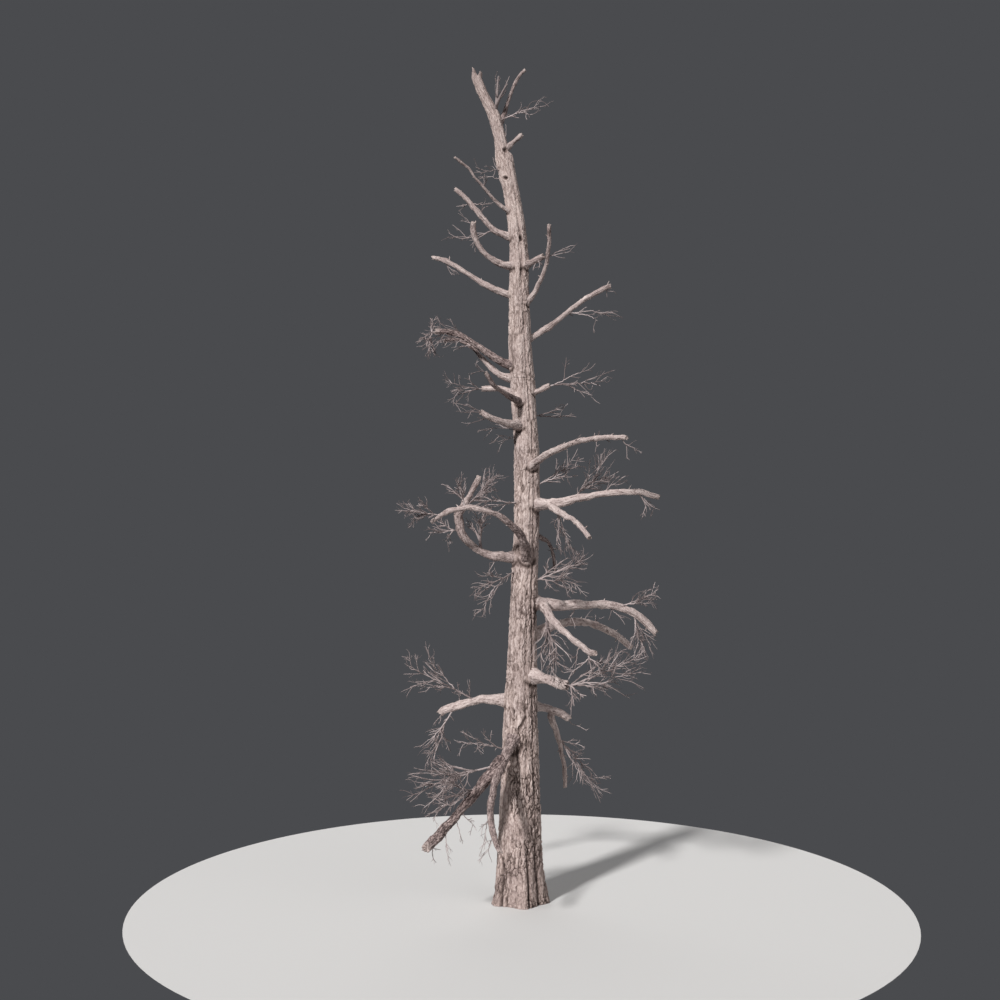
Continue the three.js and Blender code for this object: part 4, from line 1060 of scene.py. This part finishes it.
def stem_obstacles():
    """Balls along the trunk and the limbs, which twigs keep clear of."""
    step = CHECKS["trunk_step"]
    heights = np.arange(math.ceil(TRUNK_HEIGHT / step)) * step
    places = [np.stack([trunk_value(heights, 1), 0 * heights, heights], axis=-1)]
    radii = [trunk_value(heights, 2) * CHECKS["trunk_margin"]]
    for limb in limbs.values():
        count = math.ceil(limb.length / CHECKS["limb_step"])
        t = np.arange(count + 1) / count
        places.append(limb.point(t))
        radii.append(limb.radius(t))
    return np.concatenate(places), np.concatenate(radii)


# ---- finer twigs ----------------------------------------------------------------------------


def smooth_path(points, count):
    """count places along the smooth curve through the points (Catmull-Rom, with the ends'
    neighbours mirrored)."""
    full = np.concatenate([[2 * points[0] - points[1]], points, [2 * points[-1] - points[-2]]])
    s = np.linspace(0, len(points) - 1, count)
    i = np.minimum(s.astype(int), len(points) - 2)
    t = (s - i)[:, None]
    a, b, c, d = full[i], full[i + 1], full[i + 2], full[i + 3]
    return 0.5 * (2 * b + (c - a) * t + (2 * a - 5 * b + 4 * c - d) * t ** 2
                  + (3 * b - a - 3 * c + d) * t ** 3)


def bundle(twigs, count, random, stout=1):
    """Twigs of one kind as arrays: places (twig, point, 3) and radii (twig, point), each path
    smoothed and set wandering a little between its ends. Stout ones are so many times thicker,
    and wander less by the square of it."""
    points = np.array([smooth_path(twig["points"], count) for twig in twigs])
    lengths = np.linalg.norm(np.diff(points, axis=1), axis=2).sum(axis=1)
    push = random.normal(size=points.shape) * (GNARL * lengths)[:, None, None] / stout ** 2
    push[:, [0, -1]] = 0
    share = np.linspace(0, 1, count)[None, :]
    foot = np.array([twig["foot"] for twig in twigs])[:, None]
    tip = np.array([twig["tip"] for twig in twigs])[:, None]
    points[:, 0] -= TWIG_SUNK * stout * foot * unit(points[:, 1] - points[:, 0])
    return points + push, stout * mix(foot, tip, share)


def sprout(parents, random, rule):
    """Twigs that grow on from parents. They stand evenly along each parent, turned on round it
    by the same angle. Each leaves at an angle and takes equal steps, whose direction is that
    angle + a curl that grows with the square of the way + a random walk."""
    points, radii = parents
    steps = points.shape[1] - 1
    lengths = np.linalg.norm(np.diff(points, axis=1), axis=2).sum(axis=1)
    counts = np.floor(lengths / rule["spacing"] + random.random(len(points))).astype(int)
    parent = np.repeat(np.arange(len(points)), counts)
    order = np.arange(len(parent)) - np.repeat(np.cumsum(counts) - counts, counts)
    share = mix(rule["first"], rule["last"], (order + random.random(len(parent))) / counts[parent])
    i = np.minimum((share * steps).astype(int), steps - 1)
    t = share * steps - i
    place = mix(points[parent, i], points[parent, i + 1], t[:, None])
    thick = mix(radii[parent, i], radii[parent, i + 1], t)
    along = unit(points[parent, i + 1] - points[parent, i])
    level = unit(np.cross(UP, along) + 1e-6)
    turn = TURN * order + random.uniform(0, 2 * np.pi, len(points))[parent]
    turn = (turn + random.normal(0, SPROUT["turn_spread"], len(parent)))[:, None]
    aside = level * np.cos(turn) + np.cross(along, level) * np.sin(turn)
    angle = np.radians(mix(*rule["angle"], random.random(len(parent))))[:, None]
    direction = along * np.cos(angle) + aside * np.sin(angle)
    reach = lengths[parent] * rule["share"] * (1 - rule["fade"] * share)
    reach = reach * mix(*rule["spread"], random.random(len(parent)))
    reach = np.clip(reach, rule["shortest"], rule["longest"])
    count = rule["points"]
    way = np.linspace(0, 1, count - 1)[None, :, None]
    curl = unit(SPROUT["curl_by_chance"] * random.normal(size=(len(parent), 3))
                + SPROUT["curl_along"] * along)[:, None]
    curly = random.random(len(parent)) < CURLY["share"]
    curl = curl * np.where(curly, CURLY["more"], 1)[:, None, None]
    walk = np.cumsum(random.normal(size=(len(parent), count - 1, 3)), axis=1) * rule["wander"]
    heading = unit(direction[:, None] + curl * rule["curl"] * way ** 2 + walk)
    moves = np.cumsum(heading * (reach / (count - 1))[:, None, None], axis=1)
    paths = np.concatenate([place[:, None], place[:, None] + moves], axis=1)
    foot = rule["radius"] * mix(*SPROUT["thickness"], random.random(len(parent)))
    foot = np.minimum(foot, SPROUT["beside_parent"] * thick)
    foot = np.maximum(foot, rule["tip"])[:, None]
    return paths, mix(foot, rule["tip"], np.linspace(0, 1, count)[None, :])


def kept(twigs, spray, obstacles):
    """The twigs that stay in the spray's ball, near the solids' box, and clear of the trunk and
    the limbs."""
    paths, radii = twigs
    low, high = (np.array(corner) / MM for corner in CAD_BOX)
    inside = np.all(np.linalg.norm(paths - spray["middle"], axis=2) <= spray["reach"], axis=1)
    inside &= np.all((paths > low - BOX_MARGIN) & (paths < high + BOX_MARGIN), axis=(1, 2))
    paths, radii = paths[inside], radii[inside]
    near = np.linalg.norm(obstacles[0] - spray["middle"], axis=1) < spray["reach"] + NEAR_SPACE
    places, thick = obstacles[0][near], obstacles[1][near]
    gap = np.linalg.norm(paths[:, 1:, None] - places[None, None], axis=-1)
    clear = np.all(gap > thick + radii[:, 1:, None], axis=(1, 2))
    return paths[clear], radii[clear]


def tubes(paths, radii, sides):
    """Closed tubes along paths (twig, point, 3). Rings lie square to each path on axes carried
    along it: place = middle + radius (cos a across + sin a third). A flat face closes the foot
    and a point the end. Gives places and faces by their number of corners."""
    count, points = paths.shape[:2]
    along = unit(np.gradient(paths, axis=1))
    steep = np.abs(along[:, 0, 2:3]) > STEEP
    across = np.where(steep, np.array([[1.0, 0, 0]]), UP[None])
    angle = 2 * np.pi * np.arange(sides) / sides
    rings = []
    for k in range(points - 1):
        direction = along[:, k]
        across = unit(across - direction * np.sum(across * direction, axis=1, keepdims=True))
        third = np.cross(direction, across)
        spoke = (across[:, None] * np.cos(angle)[:, None] + third[:, None] * np.sin(angle)[:, None])
        rings.append(paths[:, k, None] + spoke * radii[:, k, None, None])
    places = np.concatenate([np.stack(rings, axis=1).reshape(count, -1, 3), paths[:, -1:]], axis=1)
    each = (points - 1) * sides + 1
    first = (np.arange(count) * each)[:, None]
    side = np.arange(sides)
    following = (side + 1) % sides
    row = (np.arange(points - 2) * sides)[:, None]
    wall = np.stack([row + side, row + following, row + sides + following, row + sides + side],
                    axis=-1).reshape(-1, 4)
    walls = (first[..., None] + wall[None]).reshape(-1, 4)
    last = (points - 2) * sides
    tip = np.stack([last + side, last + following, np.full(sides, each - 1)], axis=-1)
    tips = (first[..., None] + tip[None]).reshape(-1, 3)
    feet = first + side[::-1][None]
    return places.reshape(-1, 3), walls, tips, feet


# ---- materials ------------------------------------------------------------------------------


def srgb(red, green, blue):
    """A colour given as 0 to 255 for each light, as linear values."""
    values = [channel / 255 for channel in (red, green, blue)]
    linear = [v / 12.92 if v <= 0.04045 else ((v + 0.055) / 1.055) ** 2.4 for v in values]
    return (*linear, 1.0)


class Finish:
    """A material and the nodes that make it."""

    def __init__(self, name, roughness, specular=0.25):
        """A plain material with Object coordinates at hand as place."""
        self.material = bpy.data.materials.new(name)
        self.material.use_nodes = True
        self.tree = self.material.node_tree
        self.shader = self.tree.nodes["Principled BSDF"]
        self.shader.inputs["Roughness"].default_value = roughness
        self.shader.inputs["Specular IOR Level"].default_value = specular
        self.place = self.add("ShaderNodeTexCoord").outputs["Object"]

    def add(self, kind, **settings):
        """A new node of that kind with these settings."""
        node = self.tree.nodes.new(kind)
        for key, value in settings.items():
            setattr(node, key, value)
        return node

    def link(self, source, target):
        """Lead one socket into another."""
        self.tree.links.new(source, target)

    def number(self, name):
        """The mesh's own number under that name, at each place."""
        return self.add("ShaderNodeAttribute", attribute_name=name).outputs["Fac"]

    def scaled(self, source, scale):
        """Coordinates multiplied by scale along each axis."""
        node = self.add("ShaderNodeMapping")
        node.inputs["Scale"].default_value = scale
        self.link(source, node.inputs["Vector"])
        return node.outputs["Vector"]

    def noise(self, source, scale, detail=4, roughness=0.55):
        """Noise from 0 to 1 in so many layers, each finer and weaker by roughness."""
        node = self.add("ShaderNodeTexNoise")
        node.inputs["Scale"].default_value = scale
        node.inputs["Detail"].default_value = detail
        node.inputs["Roughness"].default_value = roughness
        self.link(source, node.inputs["Vector"])
        return node.outputs["Fac"]

    def math(self, operation, first, second):
        """One operation on two values, each a socket or a number."""
        node = self.add("ShaderNodeMath", operation=operation)
        for value, socket in zip((first, second), node.inputs):
            if isinstance(value, (int, float)):
                socket.default_value = value
            else:
                self.link(value, socket)
        return node.outputs["Value"]

    def level(self, less, *parts):
        """The sum of each socket times its weight, less a number."""
        products = [self.math("MULTIPLY", socket, weight) for socket, weight in parts]
        total = products[0]
        for product in products[1:]:
            total = self.math("ADD", total, product)
        return self.math("SUBTRACT", total, less)

    def ramp(self, factor, stops):
        """Colours dealt out along a factor from 0 to 1."""
        node = self.add("ShaderNodeValToRGB")
        elements = node.color_ramp.elements
        while len(elements) < len(stops):
            elements.new(0.5)
        for element, (position, colour) in zip(elements, stops):
            element.position = position
            element.color = colour
        self.link(factor, node.inputs["Fac"])
        return node.outputs["Color"]

    def blend(self, factor, first, second, way="MIX"):
        """first where the factor is 0 and second where it is 1."""
        node = self.add("ShaderNodeMix", data_type="RGBA", blend_type=way)
        sockets = [node.inputs[0], node.inputs[6], node.inputs[7]]
        for value, socket in zip((factor, first, second), sockets):
            if isinstance(value, (int, float, tuple)):
                socket.default_value = value
            else:
                self.link(value, socket)
        return node.outputs[2]

    def bump(self, height, distance, strength, below=None):
        """The surface's direction tilted by a height, on top of another bump where given."""
        node = self.add("ShaderNodeBump")
        node.inputs["Distance"].default_value = distance
        node.inputs["Strength"].default_value = strength
        self.link(height, node.inputs["Height"])
        if below:
            self.link(below, node.inputs["Normal"])
        return node.outputs["Normal"]

    def finish(self, colour, normal):
        """The material with its colour and bump led into the shader."""
        self.link(colour, self.shader.inputs["Base Color"])
        self.link(normal, self.shader.inputs["Normal"])
        return self.material


def bark_finish():
    """Weathered bark: dark furrows and pale grey crests, flecked and streaked down the stem."""
    bark = Finish("weathered_bark", roughness=0.95, specular=0.15)
    crest = bark.number("crest")
    stretched = bark.scaled(bark.place, (1, 1, 0.16))
    fleck = bark.noise(stretched, scale=75, detail=6, roughness=0.7)
    patch = bark.noise(bark.place, scale=3.2, detail=3)
    flattened = bark.scaled(bark.place, (1, 1, 0.5))
    speck = bark.noise(flattened, scale=62, detail=5, roughness=0.7)
    level = bark.level(0.2, (crest, 0.75), (fleck, 0.3), (speck, 0.55))
    colour = bark.ramp(level, [
        (0.12, srgb(44, 36, 36)), (0.32, srgb(90, 78, 74)), (0.5, srgb(139, 125, 120)),
        (0.68, srgb(176, 161, 156)), (0.9, srgb(212, 199, 194)),
    ])
    tint = bark.ramp(patch, [(0.35, srgb(230, 224, 223)), (0.65, srgb(255, 250, 247))])
    colour = bark.blend(1.0, colour, tint, "MULTIPLY")
    wood = bark.ramp(fleck, [(0.3, srgb(124, 106, 102)), (0.7, srgb(190, 173, 168))])
    colour = bark.blend(bark.number("broken"), colour, wood)
    coarse = bark.bump(speck, distance=0.012, strength=0.8)
    fibres = bark.noise(stretched, scale=190, detail=3, roughness=0.6)
    return bark.finish(colour, bark.bump(fibres, distance=0.003, strength=0.6, below=coarse))


def wood_finish():
    """Bare weathered wood with grain along the limb, and darker bark where it is still on."""
    wood = Finish("weathered_wood", roughness=0.8, specular=0.25)
    join = wood.add("ShaderNodeCombineXYZ")
    wood.link(wood.number("along"), join.inputs["X"])
    wood.link(wood.number("girth"), join.inputs["Y"])
    grain_space = wood.scaled(join.outputs["Vector"], (6, 62, 1))
    grain = wood.noise(wood.place, scale=60, detail=5, roughness=0.6)
    streak = wood.noise(grain_space, scale=1, detail=4, roughness=0.6)
    level = wood.level(0.255, (streak, 0.5), (wood.number("crest"), 0.52), (grain, 0.5))
    bare = wood.ramp(level, [
        (0.15, srgb(82, 71, 69)), (0.34, srgb(136, 123, 120)), (0.5, srgb(180, 168, 165)),
        (0.75, srgb(212, 202, 199)),
    ])
    barked = wood.ramp(level, [
        (0.18, srgb(48, 40, 40)), (0.36, srgb(86, 75, 74)), (0.52, srgb(130, 116, 114)),
        (0.7, srgb(182, 168, 165)),
    ])
    colour = wood.blend(wood.number("cover"), bare, barked)
    patch = wood.noise(wood.place, scale=5, detail=3)
    tint = wood.ramp(patch, [(0.3, srgb(226, 216, 214)), (0.7, srgb(255, 250, 247))])
    colour = wood.blend(1.0, colour, tint, "MULTIPLY")
    torn = wood.ramp(grain, [(0.3, srgb(132, 116, 110)), (0.7, srgb(196, 181, 175))])
    colour = wood.blend(wood.math("MULTIPLY", wood.number("broken"), 0.7), colour, torn)
    coarse = wood.bump(grain, distance=0.008, strength=0.8)
    pores = wood.noise(wood.place, scale=160, detail=4, roughness=0.65)
    return wood.finish(colour, wood.bump(pores, distance=0.003, strength=0.5, below=coarse))


def twig_finish(name, dark, middle, light):
    """Twig bark, paler on some twigs and darker on others, with fine flecks."""
    twig = Finish(name, roughness=0.85, specular=0.2)
    fleck = twig.noise(twig.place, scale=130, detail=3, roughness=0.6)
    level = twig.level(0.15, (twig.number("tone"), 0.7), (fleck, 0.65))
    colour = twig.ramp(level, [(0.1, dark), (0.5, middle), (0.95, light)])
    return twig.finish(colour, twig.bump(fleck, distance=0.0015, strength=0.5))


# A twig's bark on each kind: the material's name, and its dark, middle and light shades.
TWIG_BARKS = {
    "leading": ("leading_twig_bark", (98, 86, 85), (146, 133, 131), (184, 171, 169)),
    "side": ("side_twig_bark", (96, 84, 83), (144, 131, 129), (182, 169, 167)),
    "fine": ("fine_twig_bark", (96, 84, 83), (144, 131, 129), (182, 169, 167)),
    "twiglet": ("twiglet_bark", (94, 82, 81), (142, 129, 127), (180, 167, 165)),
    "spur": ("spur_bark", (78, 64, 64), (112, 97, 96), (148, 133, 131)),
}

bark_material = bark_finish()
wood_material = wood_finish()
twig_materials = {kind: twig_finish(name, *(srgb(*shade) for shade in shades))
                  for kind, (name, *shades) in TWIG_BARKS.items()}
twig_materials["snag"] = wood_material


def finished(piece, material, slot, *nodes):
    """The piece in its material, riding on the root in place of these nodes. slot is not used."""
    piece.data.materials.append(material)
    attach(piece, "root")
    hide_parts(*nodes)
    return piece


# ---- the tree -------------------------------------------------------------------------------

for piece in trunk_pieces():
    finished(piece, bark_material, "bark", "trunk")
for number, limb in enumerate(limbs.values()):
    seed = LIMB_SEED["first"] + LIMB_SEED["step"] * number
    node = "trunk" if limb.stub else limb.name
    finished(limb_surface(limb, seed), wood_material, "limb_wood", node)

stems = stem_obstacles()
grown = {"leading": [], "side": [], "fine": [], "twiglet": [], "spur": [], "snag": []}


def grow_on(name, parents, space, random):
    """Fine twigs, twiglets and spurs on these parents, each kind grown on from the last, kept
    in the space and added to what has grown under the node's name."""
    for kind, rule in (("fine", FINE_TWIGS), ("twiglet", TWIGLETS), ("spur", SPURS)):
        rule = {**rule, "spacing": rule["spacing"] * space["sparse"]}
        crops = [kept(sprout(parent, random, rule), space, stems) for parent in parents]
        crop = tuple(np.concatenate(arrays) for arrays in zip(*crops))
        if len(crop[0]):
            grown[kind].append((name, crop, rule["sides"]))
        parents = [*parents, crop] if kind == "fine" else [*parents[-1:], crop]


obstacles = stems
for number, row in enumerate(SPRAYS):
    spray = plan_spray(row, number, obstacles)
    for twig in spray["twigs"]:
        places, radii = path_samples(twig, CHECKS["past_twigs"])
        obstacles = (np.concatenate([obstacles[0], places]),
                     np.concatenate([obstacles[1], radii]))
    random = np.random.default_rng(FIRST_SEED + number)
    leading = bundle([t for t in spray["twigs"] if t["kind"] == "leading"], LEADER_POINTS,
                     random, row.get("stout", 1))
    grown["leading"].append((spray["name"], leading, TWIG_SIDES))
    parents = [leading]
    side = [t for t in spray["twigs"] if t["kind"] == "side"]
    if side:
        side = bundle(side, SIDE_TWIG_POINTS, random)
        grown["side"].append((spray["name"], side, TWIG_SIDES))
        parents.append(side)
    grow_on(spray["name"], parents, spray, random)

for number, (carrier, at, end) in enumerate(SPRIGS):
    random = np.random.default_rng(SPRIG["seed"] + number)
    start = limbs[carrier].point(at) if carrier else trunk_middle(at)
    end = np.array(end, float)
    middle = mix(start, end, np.linspace(0, 1, 4)[:, None])
    middle[1:3] += random.normal(size=(2, 3)) * SPRIG["wobble"] * np.linalg.norm(end - start)
    twig = {"points": middle, "foot": SPRIG["radius"], "tip": SPRIG["tip"]}
    leading = bundle([twig], LEADER_POINTS, random)
    grown["side"].append((None, leading, TWIG_SIDES))
    space = {"middle": mix(start, end, SPRIG["middle"]),
             "reach": 0.5 * np.linalg.norm(end - start) + SPRIG["margin"],
             "sparse": SPRIG["sparse"]}
    grow_on(None, [leading], space, random)

for number, limb in enumerate(limbs.values()):
    random = np.random.default_rng(SNAG_SEED + number)
    t = np.linspace(min(SNAG_START * limb.hidden / limb.length, SNAG_LATEST), 1, SNAG_POINTS)
    carrier = (limb.point(t)[None], limb.radius(t)[None])
    crop = sprout(carrier, random, SNAGS)
    if len(crop[0]):
        grown["snag"].append((None, crop, SNAGS["sides"]))


def twig_piece(name, kind, batch):
    """One mesh of all the tubes in a batch, with a random tone for each twig."""
    random = np.random.default_rng(len(batch))
    places, walls, tips, feet, tones = [], [], [], [], []
    start = 0
    for _, (paths, radii), sides in batch:
        more, wall, tip, foot = tubes(paths, radii, sides)
        places.append(more)
        for group, part in ((walls, wall), (tips, tip), (feet, foot)):
            group.append(part + start)
        start += len(more)
        tones.append(np.repeat(random.random(len(paths)), len(more) // len(paths)))
    faces = [np.concatenate(walls), np.concatenate(tips), np.concatenate(feet)]
    places, tones = np.concatenate(places), np.concatenate(tones)
    plain = {"crest": tones, "cover": 0 * tones, "broken": 0 * tones, "along": places[:, 2] * MM,
             "girth": places[:, 0] * MM}
    piece = make_mesh(name, places, faces, plain if kind == "snag" else {"tone": tones})
    slot = "limb_wood" if kind == "snag" else "twig_wood"
    finished(piece, twig_materials[kind], slot, *[node for node, _, _ in batch if node])


def triangles(entry):
    """How many triangles a spray's tubes have: two for each wall face, one for each side of
    the tip, and the foot's."""
    _, (paths, _), sides = entry
    return len(paths) * (2 * sides * (paths.shape[1] - 2) + sides + sides - 2)


for kind, entries in grown.items():
    batches = [[]]
    count = 0
    for entry in entries:
        if count + triangles(entry) > TRIANGLES_PER_PIECE:
            batches.append([])
            count = 0
        count += triangles(entry)
        batches[-1].append(entry)
    for number, batch in enumerate(batches):
        twig_piece(f"{kind}_twigs_{number + 1}", kind, batch)

# ---- floor and light ------------------------------------------------------------------------

FLOOR_RADIUS = 4600
FLOOR_DROP = 1                      # how far the floor lies under the foot
FLOOR_CORNERS = 128
FLOOR_COLOUR = srgb(206, 204, 202)
WORLD_COLOUR = srgb(74, 75, 78)

# light: name, direction, energy, how many degrees wide
SUNS = [
    ("key_light", (0.87, 1.25, -1.0), 4.4, 6), ("fill_light", (-1.0, 0.9, -0.5), 0.8, 60),
    ("back_light", (0.2, -1.0, -0.9), 0.7, 60),
]

turns = 2 * np.pi * np.arange(FLOOR_CORNERS) / FLOOR_CORNERS
corners = FLOOR_RADIUS * np.stack([np.cos(turns), np.sin(turns), 0 * turns], axis=-1)
corners[:, 2] = -FLOOR_DROP
floor = make_mesh("floor", corners, [np.arange(FLOOR_CORNERS)[None]])
floor_finish = Finish("pale_floor", roughness=0.9)
floor_finish.shader.inputs["Base Color"].default_value = FLOOR_COLOUR
floor.data.materials.append(floor_finish.material)

world = bpy.data.worlds.new("studio")
world.use_nodes = True
world.node_tree.nodes["Background"].inputs["Color"].default_value = WORLD_COLOUR
bpy.context.scene.world = world
for light_name, direction, energy, softness in SUNS:
    light = bpy.data.objects.new(light_name, bpy.data.lights.new(light_name, "SUN"))
    light.data.energy = energy
    light.data.angle = math.radians(softness)
    light.rotation_euler = Vector(direction).to_track_quat("-Z", "Y").to_euler()
    bpy.context.scene.collection.objects.link(light)
bpy.context.scene.view_settings.view_transform = "Standard"
